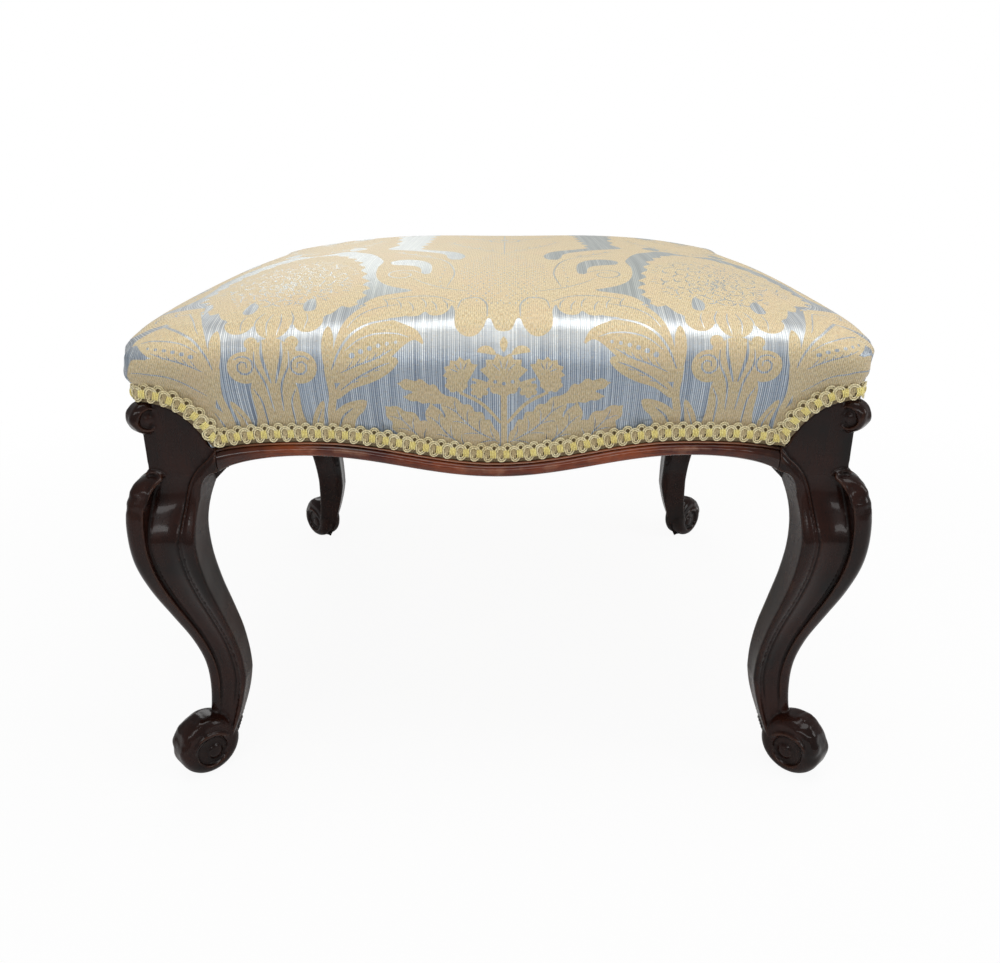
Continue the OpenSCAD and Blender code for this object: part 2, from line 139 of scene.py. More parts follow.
# A skin over equal loops of points, with each end fanned out from its middle
def loft(loops, base=0):
    loops = [np.asarray(l, float) for l in loops]
    n, count = len(loops[0]), len(loops)
    verts = np.vstack(loops + [loops[0].mean(0)[None], loops[-1].mean(0)[None]])
    faces = []
    for r in range(count - 1):
        for k in range(n):
            m = (k + 1) % n
            faces.append((base + r * n + k, base + r * n + m, base + (r + 1) * n + m, base + (r + 1) * n + k))
    for k in range(n):
        m = (k + 1) % n
        faces.append((base + m, base + k, base + count * n))
        faces.append((base + (count - 1) * n + k, base + (count - 1) * n + m, base + count * n + 1))
    return verts, faces


# A round bar along a path, thinner towards its ends where taper is given
def bar(path, radius, sides=10, taper=0.0, base=0):
    path = np.asarray(path, float)
    tangent = np.gradient(path, axis=0)
    tangent /= np.linalg.norm(tangent, axis=1)[:, None]
    side = np.cross(tangent, [0.37, -0.21, 0.9])
    side /= np.linalg.norm(side, axis=1)[:, None]
    up = np.cross(side, tangent)
    loops = []
    for i, p in enumerate(path):
        t = i / (len(path) - 1)
        r = radius * (1 - taper * (2 * t - 1) ** 4)
        a = np.linspace(0, 2 * np.pi, sides, endpoint=False)
        loops.append(p + r * (np.cos(a)[:, None] * side[i] + np.sin(a)[:, None] * up[i]))
    return loft(loops, base)


class Shells:
    def __init__(self):
        self.verts, self.faces, self.count = [], [], 0

    def add(self, shell):
        verts, faces = shell
        self.verts.append(verts)
        self.faces += [tuple(i + self.count for i in f) for f in faces]
        self.count += len(verts)


# Materials: effects that several finishes share are node groups
def node(tree, kind, inputs=None, **settings):
    n = tree.nodes.new(kind)
    for key, value in settings.items():
        setattr(n, key, value)
    for key, value in (inputs or {}).items():
        if isinstance(value, bpy.types.NodeSocket):
            tree.links.new(value, n.inputs[key])
        else:
            n.inputs[key].default_value = value
    return n


def ramp(tree, value, stops, interpolation="LINEAR"):
    n = node(tree, "ShaderNodeValToRGB", {"Fac": value})
    n.color_ramp.interpolation = interpolation
    while len(n.color_ramp.elements) < len(stops):
        n.color_ramp.elements.new(0.5)
    for e, (at, c) in zip(n.color_ramp.elements, stops):
        e.position = at
        e.color = (c, c, c, 1) if isinstance(c, (int, float)) else (*c, 1)
    return n.outputs["Color"]


def blend(tree, kind, amount, a, b):
    n = node(tree, "ShaderNodeMix", data_type="RGBA", blend_type=kind)
    for i, value in ((0, amount), (6, a), (7, b)):
        if isinstance(value, bpy.types.NodeSocket):
            tree.links.new(value, n.inputs[i])
        elif i and len(value) == 3:
            n.inputs[i].default_value = (*value, 1)
        else:
            n.inputs[i].default_value = value
    return n.outputs[2]


def maths(tree, kind, a, b=0.0, clamp=False):
    return node(tree, "ShaderNodeMath", {0: a, 1: b}, operation=kind, use_clamp=clamp).outputs[0]


def times(tree, a, b):
    return maths(tree, "MULTIPLY", a, b)


def plus(tree, a, b):
    return maths(tree, "ADD", a, b)


def vectors(tree, kind, a, b=(0, 0, 0)):
    return node(tree, "ShaderNodeVectorMath", {0: a, 1: b}, operation=kind).outputs[0]


def specks(tree, place, scale, detail, rough=0.5):
    values = {"Vector": place, "Scale": scale, "Detail": detail, "Roughness": rough}
    return node(tree, "ShaderNodeTexNoise", values).outputs["Fac"]


def stored(tree, name, kind="Fac"):
    return node(tree, "ShaderNodeAttribute", attribute_name=name).outputs[kind]


def drawnOut(tree, place, x, y):
    return node(tree, "ShaderNodeMapping", {"Vector": place, "Scale": (x, y, 1.0)}).outputs[0]


def objectPlace(tree):
    return node(tree, "ShaderNodeTexCoord").outputs["Object"]


# Give a finish its colour and the relief of a height
def paint(tree, shader, body, height, strength, distance):
    tree.links.new(body, shader.inputs["Base Color"])
    relief = node(tree, "ShaderNodeBump", {"Strength": strength, "Distance": distance, "Height": height})
    tree.links.new(relief.outputs[0], shader.inputs["Normal"])


def group(name, inputs, outputs):
    tree = bpy.data.node_groups.new(name, "ShaderNodeTree")
    for label, kind, value in inputs:
        s = tree.interface.new_socket(label, in_out="INPUT", socket_type="NodeSocket" + kind)
        if value is not None:
            s.default_value = value
    for label, kind in outputs:
        tree.interface.new_socket(label, in_out="OUTPUT", socket_type="NodeSocket" + kind)
    return tree, tree.nodes.new("NodeGroupInput").outputs, tree.nodes.new("NodeGroupOutput").inputs


def finish(name, **sockets):
    m = bpy.data.materials.new(name)
    m.use_nodes = True
    shader = m.node_tree.nodes["Principled BSDF"]
    for key, value in sockets.items():
        shader.inputs[key.replace("_", " ")].default_value = value
    return m, m.node_tree, shader


def useGroup(tree, made, **values):
    n = tree.nodes.new("ShaderNodeGroup")
    n.node_tree = made
    for key, value in values.items():
        if isinstance(value, bpy.types.NodeSocket):
            tree.links.new(value, n.inputs[key])
        else:
            n.inputs[key].default_value = value
    return n.outputs


# Wood figure that runs along one axis of the piece: broad bands, fine grain and short dark pores
def buildWoodGrain():
    taken = [("Place", "Vector", None), ("Stretch", "Vector", (1, 1, 0.08)), ("Scale", "Float", 60.0),
             ("Depth", "Float", 0.2)]
    tree, gin, gout = group("woodGrain", taken, [("Band", "Float"), ("Pores", "Float"), ("Height", "Float")])
    place = vectors(tree, "MULTIPLY", gin["Place"], gin["Stretch"])
    warp = node(tree, "ShaderNodeTexNoise", {"Vector": place, "Scale": 9.0, "Detail": 3.0})
    moved = vectors(tree, "ADD", place, vectors(tree, "MULTIPLY", warp.outputs["Color"], (0.06, 0.06, 0.06)))
    band = specks(tree, moved, gin["Scale"], 4.0, 0.62)
    pores = ramp(tree, specks(tree, moved, times(tree, gin["Scale"], 9.0), 3.0, 0.7), [(0.56, 0.0), (0.66, 1.0)])
    tree.links.new(band, gout["Band"])
    tree.links.new(pores, gout["Pores"])
    mixed = plus(tree, times(tree, pores, -1.0), times(tree, band, 0.6))
    tree.links.new(times(tree, mixed, gin["Depth"]), gout["Height"])
    return tree


# Where hands, feet and polish have reached: a mask from the mesh's own wear attribute, broken up by noise
def buildHandling():
    taken = [("Place", "Vector", None), ("Scale", "Float", 90.0), ("Edge", "Float", 1.0)]
    tree, gin, gout = group("handling", taken, [("Worn", "Float"), ("Grime", "Float"), ("Smudge", "Float")])
    patch = specks(tree, gin["Place"], gin["Scale"], 5.0)
    broken = plus(tree, stored(tree, "wear"), times(tree, maths(tree, "SUBTRACT", patch, 0.5), 1.1))
    tree.links.new(ramp(tree, times(tree, broken, gin["Edge"]), [(0.42, 0.0), (0.85, 1.0)]), gout["Worn"])
    # grime and painted shade: the hollow mask, broken up by noise
    dirtAndShade = maths(tree, "MULTIPLY", stored(tree, "grime"), plus(tree, patch, 0.45), clamp=True)
    tree.links.new(dirtAndShade, gout["Grime"])
    broad = specks(tree, gin["Place"], 22.0, 4.0, 0.6)
    tree.links.new(ramp(tree, broad, [(0.38, 0.0), (0.68, 1.0)]), gout["Smudge"])
    return tree


woodGrain = buildWoodGrain()
handling = buildHandling()
walnutLook = {"dark": (0.0040, 0.0024, 0.0020), "mid": (0.0120, 0.0046, 0.0032), "red": (0.040, 0.0092, 0.0046),
              "worn": (0.055, 0.020, 0.010), "rough": (0.14, 0.34)}


def polishedWood(name, look, stretch, scale=60.0, redShare=0.5, wornShare=0.5, bump=0.12, along=None, coat=0.2):
    m, tree, shader = finish(name, IOR=1.5, Specular_IOR_Level=0.14, Coat_Roughness=0.06)
    place = objectPlace(tree)
    grain = useGroup(tree, woodGrain, Place=place, Stretch=stretch, Scale=scale, Depth=0.3)
    hand = useGroup(tree, handling, Place=place)
    body = blend(tree, "MIX", ramp(tree, grain["Band"], [(0.36, 0.0), (0.66, 1.0)]), look["dark"], look["mid"])
    body = blend(tree, "MIX", times(tree, hand["Smudge"], redShare), body, look["red"])
    body = blend(tree, "MIX", times(tree, grain["Pores"], 0.55), body, look["dark"])
    body = blend(tree, "MIX", times(tree, hand["Worn"], wornShare), body, look["worn"])
    # painted shade with grime: hollows and sunk lines are darkened towards the dark wood
    body = blend(tree, "MIX", times(tree, hand["Grime"], 0.8), body, look["dark"])
    if along:
        far = maths(tree, "ABSOLUTE", node(tree, "ShaderNodeSeparateXYZ", {0: place}).outputs[along])
        body = blend(tree, "MIX", ramp(tree, far, [(0.135, 0.0), (0.176, 0.92)]), body, walnutLook["mid"])
    lo, hi = look["rough"]
    dull = plus(tree, times(tree, hand["Smudge"], hi - lo), lo)
    dull = plus(tree, dull, times(tree, hand["Grime"], 0.22))
    tree.links.new(dull, shader.inputs["Roughness"])
    clean = maths(tree, "SUBTRACT", 1.0, hand["Grime"])
    tree.links.new(times(tree, clean, coat), shader.inputs["Coat Weight"])
    paint(tree, shader, body, grain["Height"], bump, 0.0006)
    return m


def rawWood(name, pale, dark, stretch, scale=45.0):
    m, tree, shader = finish(name, Roughness=0.62)
    place = objectPlace(tree)
    grain = useGroup(tree, woodGrain, Place=place, Stretch=stretch, Scale=scale, Depth=0.5)
    body = blend(tree, "MIX", ramp(tree, grain["Band"], [(0.34, 0.0), (0.68, 1.0)]), dark, pale)
    body = blend(tree, "MIX", times(tree, grain["Pores"], 0.35), body, dark)
    stain = specks(tree, place, 14.0, 4.0)
    body = blend(tree, "MULTIPLY", ramp(tree, stain, [(0.40, 0.0), (0.75, 0.55)]), body, (0.45, 0.36, 0.28))
    paint(tree, shader, body, grain["Height"], 0.35, 0.0008)
    return m


apronLook = {"dark": (0.020, 0.0035, 0.0022), "mid": (0.095, 0.0130, 0.0042), "red": (0.27, 0.055, 0.0120),
             "worn": (0.52, 0.25, 0.15), "rough": (0.07, 0.17)}
walnut = polishedWood("polishedWalnut", walnutLook, (1, 1, 0.10))
apronShare = {"redShare": 0.85, "bump": 0.05, "coat": 0.5}
apronWoodX = polishedWood("apronWalnutLengthwise", apronLook, (0.07, 1, 1), along="X", **apronShare)
apronWoodY = polishedWood("apronWalnutCrosswise", apronLook, (1, 0.07, 1), along="Y", **apronShare)
beechX = rawWood("beechLengthwise", (0.52, 0.33, 0.17), (0.34, 0.19, 0.09), (0.06, 1, 1))
beechY = rawWood("beechCrosswise", (0.52, 0.33, 0.17), (0.34, 0.19, 0.09), (1, 0.06, 1))
print("materials for the woods made")


# Store how convex or hollow the surface is at each point: convex for wear, hollow for grime and painted shade
def markWear(obj):
    mesh = obj.data
    co, normal, n = readPoints(mesh), readPoints(mesh, "normal"), len(mesh.vertices)
    ends = np.zeros(len(mesh.edges) * 2, np.int64)
    mesh.edges.foreach_get("vertices", ends)
    a, b = ends[0::2], ends[1::2]
    degree = np.maximum(1, np.bincount(a, minlength=n) + np.bincount(b, minlength=n))

    def around(values):
        return (np.bincount(a, values[b], n) + np.bincount(b, values[a], n)) / degree

    mean = np.stack([around(co[:, k]) for k in range(3)], 1)
    length = np.bincount(a, np.linalg.norm(co[a] - co[b], axis=1), n) / degree + 0.2
    bend = ((co - mean) * normal).sum(1) / length
    for _ in range(2):
        bend = 0.5 * bend + 0.5 * around(bend)
    for name, value in (("wear", np.clip(bend * 6, 0, 1)), ("grime", np.clip(-bend * 6, 0, 1))):
        attribute = mesh.attributes.new(name, "FLOAT", "POINT")
        attribute.data.foreach_set("value", value.astype(np.float32))


def applyModifiers(obj):
    depsgraph = bpy.context.evaluated_depsgraph_get()
    seen = obj.evaluated_get(depsgraph)
    mesh = bpy.data.meshes.new_from_object(seen, preserve_all_data_layers=True, depsgraph=depsgraph)
    obj.modifiers.clear()
    old = obj.data
    obj.data = mesh
    mesh.name = obj.name
    bpy.data.meshes.remove(old)
    return obj


# Legs: a shaft lofted from the floor to the stile, with a scroll toe, a small ear scroll and the stile's plates
legSizes = {"kneeZ": 190, "kneeOut": 22, "ribTop": 231, "ankleZ": 69, "ankleIn": 20, "kneeW": 43.5, "ankleW": 26.5,
            "soleW": 12, "kneeDepth": 55, "ankleDepth": 33.6, "heelSweep": 26.5, "toeSweep": 16, "coveD": 5,
            "ribShare": 0.31, "bandShare": 0.745, "shieldR": 40.5, "flareZ": 216, "voxel": 0.8, "quickVoxel": 1.6}
toeSizes = {"u": 304.0, "z": 22.0, "r": 22.5, "w": 24.5, "discU": 304.5, "discZ": 18.6, "discR": 10.8, "sunk": 2.5,
            "eyeU": 302.7, "eyeZ": 17.3, "eyeR": 5.2, "eyeOut": 2.1,
            "ridge": [(291.5, 20.7, 1.0), (293.2, 26.8, 0.2), (298, 30.9, -0.2), (304, 32.8, -0.3), (310, 32.5, -0.2),
                      (315.2, 29.4, -0.1), (318.3, 24.2, 0.2), (318.3, 17.2, 1.0)]}
earSizes = {"u": 313.2, "z": 269.6, "r": 10.4, "w": 13.0, "discU": 313.0, "discZ": 269.0, "discR": 6.6, "sunk": 1.6,
            "eyeU": 312.6, "eyeZ": 268.6, "eyeR": 3.0, "eyeOut": 1.5,
            "ridge": [(306.5, 265.5, 0.8), (307.6, 272.5, 0.2), (312.5, 276, 0), (318, 273.5, 0.2), (319.5, 268, 0.7)]}
diag = math.sqrt(2)
cornerU = stile * diag
innerPostU = postIn * diag
shieldX, shieldZ = stile - 1.5, legTop - legSizes["shieldR"]
apronZ, apronWave, waveX, waveFall = legTop - 41.0, 14.0, 116.0, 4.0
apronEnd = legTop - 46.5
# Left edge of the moulded band, where it leaves the knee and runs up to the apron, as distance from the middle
bandPath = smoothPath([(206.7, 186), (204.6, 200), (202.0, 213), (198.5, 225), (192.0, 235.5), (184.5, 242.5),
                       (postIn, apronZ + apronWave - waveFall)], 120)


def outerU(z):
    l = legSizes
    if z >= l["ribTop"]:
        return cornerU
    if z >= l["kneeZ"]:
        return cornerU + l["kneeOut"] * (1 - ((z - l["kneeZ"]) / (l["ribTop"] - l["kneeZ"])) ** 2.5) ** 0.4
    if z >= l["ankleZ"]:
        rise = float(ease((z - l["ankleZ"]) / (l["kneeZ"] - l["ankleZ"])))
        return mix(cornerU - l["ankleIn"], cornerU + l["kneeOut"], rise)
    return cornerU - l["ankleIn"] + l["toeSweep"] * (1 - z / l["ankleZ"]) ** 2


# The hollow beside the rib fades into the stile's face lower down than the rib does
def hollowSet(z):
    if z >= legSizes["ribTop"]:
        return 0.0
    rise = legSizes["kneeOut"] * float(ease((z - 184) / 41))
    return (outerU(z) - outerU(min(z, legSizes["kneeZ"])) + rise) / diag


def innerU(z):
    l = legSizes
    kneeBack = cornerU + l["kneeOut"] - l["kneeDepth"]
    ankleBack = cornerU - l["ankleIn"] - l["ankleDepth"]
    kneeIn, ankleIn, fair = l["kneeZ"] - 6, l["ankleZ"] + 6, l["ribTop"] - 6
    if z >= fair:
        return innerPostU
    if z >= kneeIn:
        return kneeBack - (kneeBack - innerPostU) * (1 - math.sqrt(1 - ((z - kneeIn) / (fair - kneeIn)) ** 2))
    if z >= ankleIn:
        return mix(ankleBack, kneeBack, float(ease((z - ankleIn) / (kneeIn - ankleIn))))
    return ankleBack + l["heelSweep"] * (1 - z / ankleIn) ** 2


def faceWidth(z):
    l = legSizes
    if z >= l["flareZ"]:
        low, turn = l["flareZ"], min(1, (z - l["flareZ"]) / (apronEnd - l["flareZ"]))
        wide = mix(l["kneeW"], stile - postIn, float(ease((low - l["kneeZ"]) / (l["ribTop"] - l["kneeZ"]))))
        start = outerU(low) / diag - wide
        return outerU(z) / diag - postIn - (start - postIn) * math.sqrt(1 - turn**2)
    if z >= l["kneeZ"]:
        return mix(l["kneeW"], stile - postIn, float(ease((z - l["kneeZ"]) / (l["ribTop"] - l["kneeZ"]))))
    if z >= l["ankleZ"]:
        return mix(l["ankleW"], l["kneeW"], float(ease((z - l["ankleZ"]) / (l["kneeZ"] - l["ankleZ"]))))
    return mix(l["soleW"], l["ankleW"], (z / l["ankleZ"]) ** 0.75)


def coveDepth(z):
    l = legSizes
    if z >= l["kneeZ"]:
        return l["coveD"] * max(0, 1 - ((z - l["kneeZ"]) / (l["ribTop"] - l["kneeZ"])) ** 2)
    return l["coveD"] * (0.2 + 0.8 * float(ease((z - l["ankleZ"] / 2) / (l["kneeZ"] - l["ankleZ"] / 2))))


def bandSet(z):
    l = legSizes
    if z >= l["kneeZ"]:
        return mix(0.7 * coveDepth(l["kneeZ"]), -mouldOut, float(ease((z - l["kneeZ"]) / (l["ribTop"] - l["kneeZ"]))))
    return 0.7 * coveDepth(z)


# Section through one moulded face, from the corner's rib over the hollow to the band's flank
def halfRing(z):
    l = legSizes
    s, g, f, b = faceWidth(z), coveDepth(z), hollowSet(z), bandSet(z)
    o = outerU(z) / diag
    top = z >= l["ribTop"]
    r = 1.6 if top else 0.16 * s
    ribW = l["ribShare"] * s
    if z > 190:
        below, here, above = np.interp([z - 1, z, z + 1], bandPath[:, 1], bandPath[:, 0])
        bandW, slope = o - here, (above - below) / 2
    else:
        bandW, slope = l["bandShare"] * s, 0.1
    bandW = min(bandW, s - 0.2)
    points = [(r - r * math.cos(a), r - r * math.sin(a)) for a in np.radians([45, 57, 68, 79, 90])]
    e = min(1.5, 0.5 * (f + 0.85 * g) + 0.05)
    points += [(w, 0.02 * g * (w / ribW) ** 2) for w in np.linspace(r, ribW - e, 5)[1:]]
    points += [(ribW - e + e * math.sin(a), e - e * math.cos(a)) for a in np.radians([30, 60, 88])]
    for t in np.linspace(0, 1, 15):
        foot = 0.45 * math.exp(-((t - 0.02) / 0.05) ** 2) * (0 if top else 1)
        points.append((mix(ribW + 0.35, bandW - 0.3, t),
                       f + g * (0.85 + 0.32 * math.sin(math.pi * t) - 0.12 * t) + foot))
    stretch = math.hypot(1, slope)
    for w in np.linspace(bandW + 0.1, s, 26):
        far, left = (w - bandW) / stretch, s - w
        crown = 0.9 * math.sin(math.pi * min(1, max(0, (far - 2.4) / max(0.5, (s - bandW) / stretch - 2.4))))
        line = 0.9 * math.exp(-((far - 2.1) / 0.55) ** 2)
        lead = 1.2 * math.exp(-(far / 0.5) ** 2)
        edge = 1.6 - math.sqrt(max(0, 1.6**2 - max(0, 1.6 - left) ** 2)) if left < 1.6 else 0
        points.append((w, b + f - crown + line + lead + edge))
    cut = max(0.2, s - (outerU(z) - innerU(z)) / diag)
    start = points[-1][1]
    points += [(s - 0.35 * math.sin(math.pi * t), mix(start, s - 2.4 * cut, t)) for t in (0.25, 0.5, 0.75, 1.0)]
    points += [(s - 0.22 * cut, s - 1.7 * cut), (s - 0.6 * cut, s - 1.1 * cut)]
    return np.array(points), -o, -innerU(z) / diag


def shaftRing(z):
    half, o, i = halfRing(z)
    a = np.stack([o + half[:, 0], o + half[:, 1], np.full(len(half), z)], 1)
    b = a[::-1][:, [1, 0, 2]]
    return np.vstack([a, [[i, i, z]], b[:-1]])


# A scroll across the diagonal: a round roll whose ends hold a sunk disc and an eye, set off its middle
def scroll(c):
    h, r = c["w"] / 2, c["r"]
    rim = min(0.34 * r, 0.62 * h)
    rows = [(c["u"], c["z"], r, 0.0)]
    rows += [(c["u"], c["z"], r - rim + rim * math.cos(a), h - rim + rim * math.sin(a))
             for a in np.radians(np.linspace(0, 90, 7))]
    floor = h - c["sunk"]
    for wider, v in ((1.6, h + 0.1), (0.4, h - 0.5), (0, floor)):
        rows.append((c["discU"], c["discZ"], c["discR"] + wider, v))
    for wider, v in ((0.7, floor), (0, floor + 0.8)):
        rows.append((c["eyeU"], c["eyeZ"], c["eyeR"] + wider, v))
    rows += [(c["eyeU"], c["eyeZ"], c["eyeR"] * math.cos(a), floor + 0.8 + (c["eyeOut"] - 0.8) * math.sin(a))
             for a in np.radians([35, 60, 78, 88])]
    rows = [(u, z, rr, -v) for u, z, rr, v in rows[:0:-1]] + rows
    a = np.linspace(0, 2 * np.pi, 72, endpoint=False)
    loops = []
    for u, z, rr, v in rows:
        uu = u + rr * np.cos(a)
        loops.append(np.stack([-(uu - v) / diag, -(uu + v) / diag, z + rr * np.sin(a)], 1))
    return loft(loops)


# A raised ridge on a scroll's end, as points given along the diagonal, up and in from the end
def endRidge(points, v, radius, side):
    p = smoothPath(points, 40)
    h = side * (v - p[:, 2])
    return bar(np.stack([-(p[:, 0] - h) / diag, -(p[:, 0] + h) / diag, p[:, 1]], 1), radius, 10, 0.75)


def apronTop(x):
    a = np.abs(x)
    rise = apronZ + apronWave * ease(a / waveX)
    fall = apronZ + apronWave - waveFall * (np.clip(a - waveX, 0, None) / (postIn - waveX)) ** 3
    return np.where(a < waveX, rise, fall)


def shieldArc(off, count):
    r = legSizes["shieldR"] + off
    low = float(apronTop(postIn)) + off
    start = math.asin(math.sqrt(r * r - (low - shieldZ) ** 2) / r)
    a = np.linspace(start, 0, count)
    return np.stack([shieldX - r * np.sin(a), shieldZ + r * np.cos(a)], 1)


# Extrude an outline in the front's plane from one depth to another, on both of the corner's faces
def platePair(outline, front, back):
    shells = []
    for swap in (False, True):
        loops = []
        for inset, y in ((0.9, front), (0.35, front + 0.25), (0.0, front + 0.9), (0.0, back)):
            p = np.array(outline, float)
            middle = p.mean(0)
            p = middle + (p - middle) * (1 - inset / np.linalg.norm(p - middle, axis=1, keepdims=True))
            loop = np.stack([-p[:, 0], np.full(len(p), y), p[:, 1]], 1)
            loops.append(loop[:, [1, 0, 2]] if swap else loop)
        shells.append(loft(loops))
    return shells


def box(lo, hi):
    (x0, y0, z0), (x1, y1, z1) = lo, hi
    ring = [(x0, y0), (x1, y0), (x1, y1), (x0, y1)]
    return loft([[(x, y, z) for x, y in ring] for z in (z0, z1)])


def buildLeg(name):
    l = legSizes
    parts = Shells()
    ringZ = np.concatenate([np.arange(0, l["kneeZ"], 1.6), np.arange(l["kneeZ"], float(apronTop(postIn)), 0.6)])
    parts.add(loft([shaftRing(z) for z in ringZ]))
    parts.add(scroll(toeSizes))
    parts.add(scroll(earSizes))
    for side in (-1, 1):
        for c, radius in ((toeSizes, 1.5), (earSizes, 0.9)):
            parts.add(endRidge(c["ridge"], c["w"] / 2, radius, side))
    for u, z, r, w in ((307.9, 40.3, 4.9, 7.3), (312.2, 37.6, 5.6, 8.2)):
        v = np.linspace(-w, w, 20)
        parts.add(bar(np.stack([-(u - v) / diag, -(u + v) / diag, z - 0.012 * v**2], 1), r, 16, 0.35))
    # lip that curls round the top of the rib on each face
    lip = smoothPath([(226.5, 232.2, 0.3), (221.0, 233.4, 0.6), (216.2, 232.2, 0.9), (214.6, 229.8, 4.0),
                      (217.2, 227.4, 7.4), (220.0, 223.4, 10.2), (221.9, 218.6, 12.0), (223.4, 212.0, 13.6)], 34)
    for swap in (False, True):
        p = np.stack([-lip[:, 0], -stile - lip[:, 2], lip[:, 1]], 1)
        parts.add(bar(p[:, [1, 0, 2]] if swap else p, 1.25, 10, 0.6))
    parts.add(box((-face, -face, apronEnd + 3), (-postIn, -postIn, legTop - 0.2)))
    parts.add(box((-face + 1.5, -face + 1.5, legTop - 3), (-postIn, -postIn, railTop)))
    arc = shieldArc(0, 26)
    outline = [(stile, l["ribTop"] + 8), (stile, legTop)] + [tuple(p) for p in arc[::-1]]
    outline += [(postIn, float(apronTop(postIn))), (postIn, l["ribTop"] + 8)]
    for shell in platePair(smoothOutline(outline), -stile, -face + 0.3):
        parts.add(shell)
    leg = makeMesh(name, np.vstack(parts.verts), parts.faces)
    remesh = leg.modifiers.new("oneBody", "REMESH")
    remesh.mode = "VOXEL"
    remesh.voxel_size = l["voxel"] * mm
    applyModifiers(leg)
    soften = leg.modifiers.new("soften", "SMOOTH")
    soften.factor, soften.iterations = 0.5, 3
    applyModifiers(leg)
    return leg


def smoothOutline(points):
    out = []
    for a, b in zip(points, points[1:] + points[:1]):
        steps = max(1, int(math.dist(a, b) / 4))
        out += [mix(np.array(a), np.array(b), k / steps) for k in range(steps)]
    return out


# How near each point of a leg lies to the sunk lines beside the rib and the band
def quirkLines(co):
    l = legSizes
    zs = np.linspace(0, legTop, 281)
    o, s = np.array([outerU(z) for z in zs]) / diag, np.array([faceWidth(z) for z in zs])
    bandW = np.where(zs > 190, o - np.interp(zs, bandPath[:, 1], bandPath[:, 0]), l["bandShare"] * s)
    z = co[:, 2]
    w = np.interp(z, zs, o) - np.minimum(np.abs(co[:, 0]), np.abs(co[:, 1]))
    rib = np.exp(-((w - np.interp(z, zs, l["ribShare"] * s) - 0.5) / 0.75) ** 2) * np.clip((226 - z) / 8, 0, 1)
    band = np.exp(-((w - np.interp(z, zs, bandW) + 0.2) / 0.65) ** 2) * np.clip((246 - z) / 4, 0, 1)
    return np.maximum(rib, band) * np.clip((z - 46) / 12, 0, 1)


carveSizes = {"roll": 1.1, "knob": 0.9, "uneven": 0.12, "quirk": 0.7, "kept": 0.55, "quickKept": 0.9,
              "waves": (((0.21, 0.13, 0.09), 1), ((-0.11, 0.19, 0.14), 2), ((0.07, -0.16, 0.23), 4))}


# Hand carving: soft lumps on the toe's roll and the knob of the rib, and a flat where the toe has worn
def handCarve(leg):
    mesh = leg.data
    co, normal = readPoints(mesh), readPoints(mesh, "normal")
    u = -(co[:, 0] + co[:, 1]) / diag
    z = co[:, 2]
    roll = np.clip((u - 302) / 8, 0, 1) * np.clip((z - 13) / 11, 0, 1) * np.clip((51 - z) / 7, 0, 1)
    knob = np.clip((u - (cornerU + 3)) / 5, 0, 1) * np.clip((z - 205) / 10, 0, 1)
    lumps = np.zeros(len(co))
    touched = np.nonzero((roll > 0) | (knob > 0))[0]
    c = carveSizes
    for i in touched:
        p = Vector(co[i])
        lumps[i] = roll[i] * c["roll"] * (noise.noise(p * 0.11) + 0.22 * noise.noise(p * 0.26))
        lumps[i] += knob[i] * c["knob"] * noise.noise(p * 0.17)
    slow = sum(np.sin(co @ wave + turn) for wave, turn in c["waves"]) / 3
    co = co + normal * (lumps + c["uneven"] * slow - c["quirk"] * quirkLines(co))[:, None]
    co[:, 2] = np.maximum(co[:, 2], 0)
    mesh.vertices.foreach_set("co", (co * mm).ravel())
    mesh.update()


def dressLegs():
    pattern = buildLeg("leg_front_left_carved")
    handCarve(pattern)
    thin = pattern.modifiers.new("thin", "DECIMATE")
    thin.ratio = carveSizes["kept"]
    applyModifiers(pattern)
    mesh = pattern.data
    mesh.polygons.foreach_set("use_smooth", [True] * len(mesh.polygons))
    markWear(pattern)
    grime = np.zeros(len(mesh.vertices), np.float32)
    mesh.attributes["grime"].data.foreach_get("value", grime)
    # the sunk lines beside the rib and the band are darkened too, as grime and painted shade
    grime = np.maximum(grime, quirkLines(readPoints(mesh))).astype(np.float32)
    mesh.attributes["grime"].data.foreach_set("value", grime)
    mesh.materials.append(walnut)
    for where, k in legTurns.items():
        leg = pattern
        if k:
            leg = newObject("leg_" + where + "_carved", mesh.copy())
            leg.data.transform(Matrix.Rotation(k * math.pi / 2, 4, "Z"))
            leg.data.update()
        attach(leg, "root")
        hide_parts("leg_" + where)
    print("legs carved:", len(mesh.polygons), "faces each")


dressLegs()


# Seat: a padded form whose rings run from the middle of the crown (0) over the edge (1 to 2),
# down the side (2 to 3) and behind the gimp (3 to 4). The cloth is drawn flat and laid over it.
seatSizes = {"fullZ": legTop + 27.6, "fullHalf": coverHi[0], "rollIn": 25.0, "rollH": 24.4, "rollFrom": 68.0,
             "crown": coverHi[2] - legTop - 27.6 - 24.4 * math.sin(math.radians(68)) + 0.4, "corner": 24.0,
             "edgeCorner": 42.0, "drop": 4.0, "frontDrop": 8.0, "flat": 3.75, "cornerOut": 3.8,
             "baseHalf": face + 1.8, "baseCorner": 6.8, "gimpW": 13.4, "underGimp": 0.6, "padZ": legTop + 12.3,
             "ringsQ": 66, "sideU": 49, "ridge": 0.6, "pleat": 0.9, "fold": 0.5, "pucker": 0.22, "uneven": 0.5}
# The flat cloth: how far the figure is drawn, half of the square its points fill, and the step between them
clothSizes = {"reach": 312, "half": 300, "step": 5.0, "quickStep": 9.0}
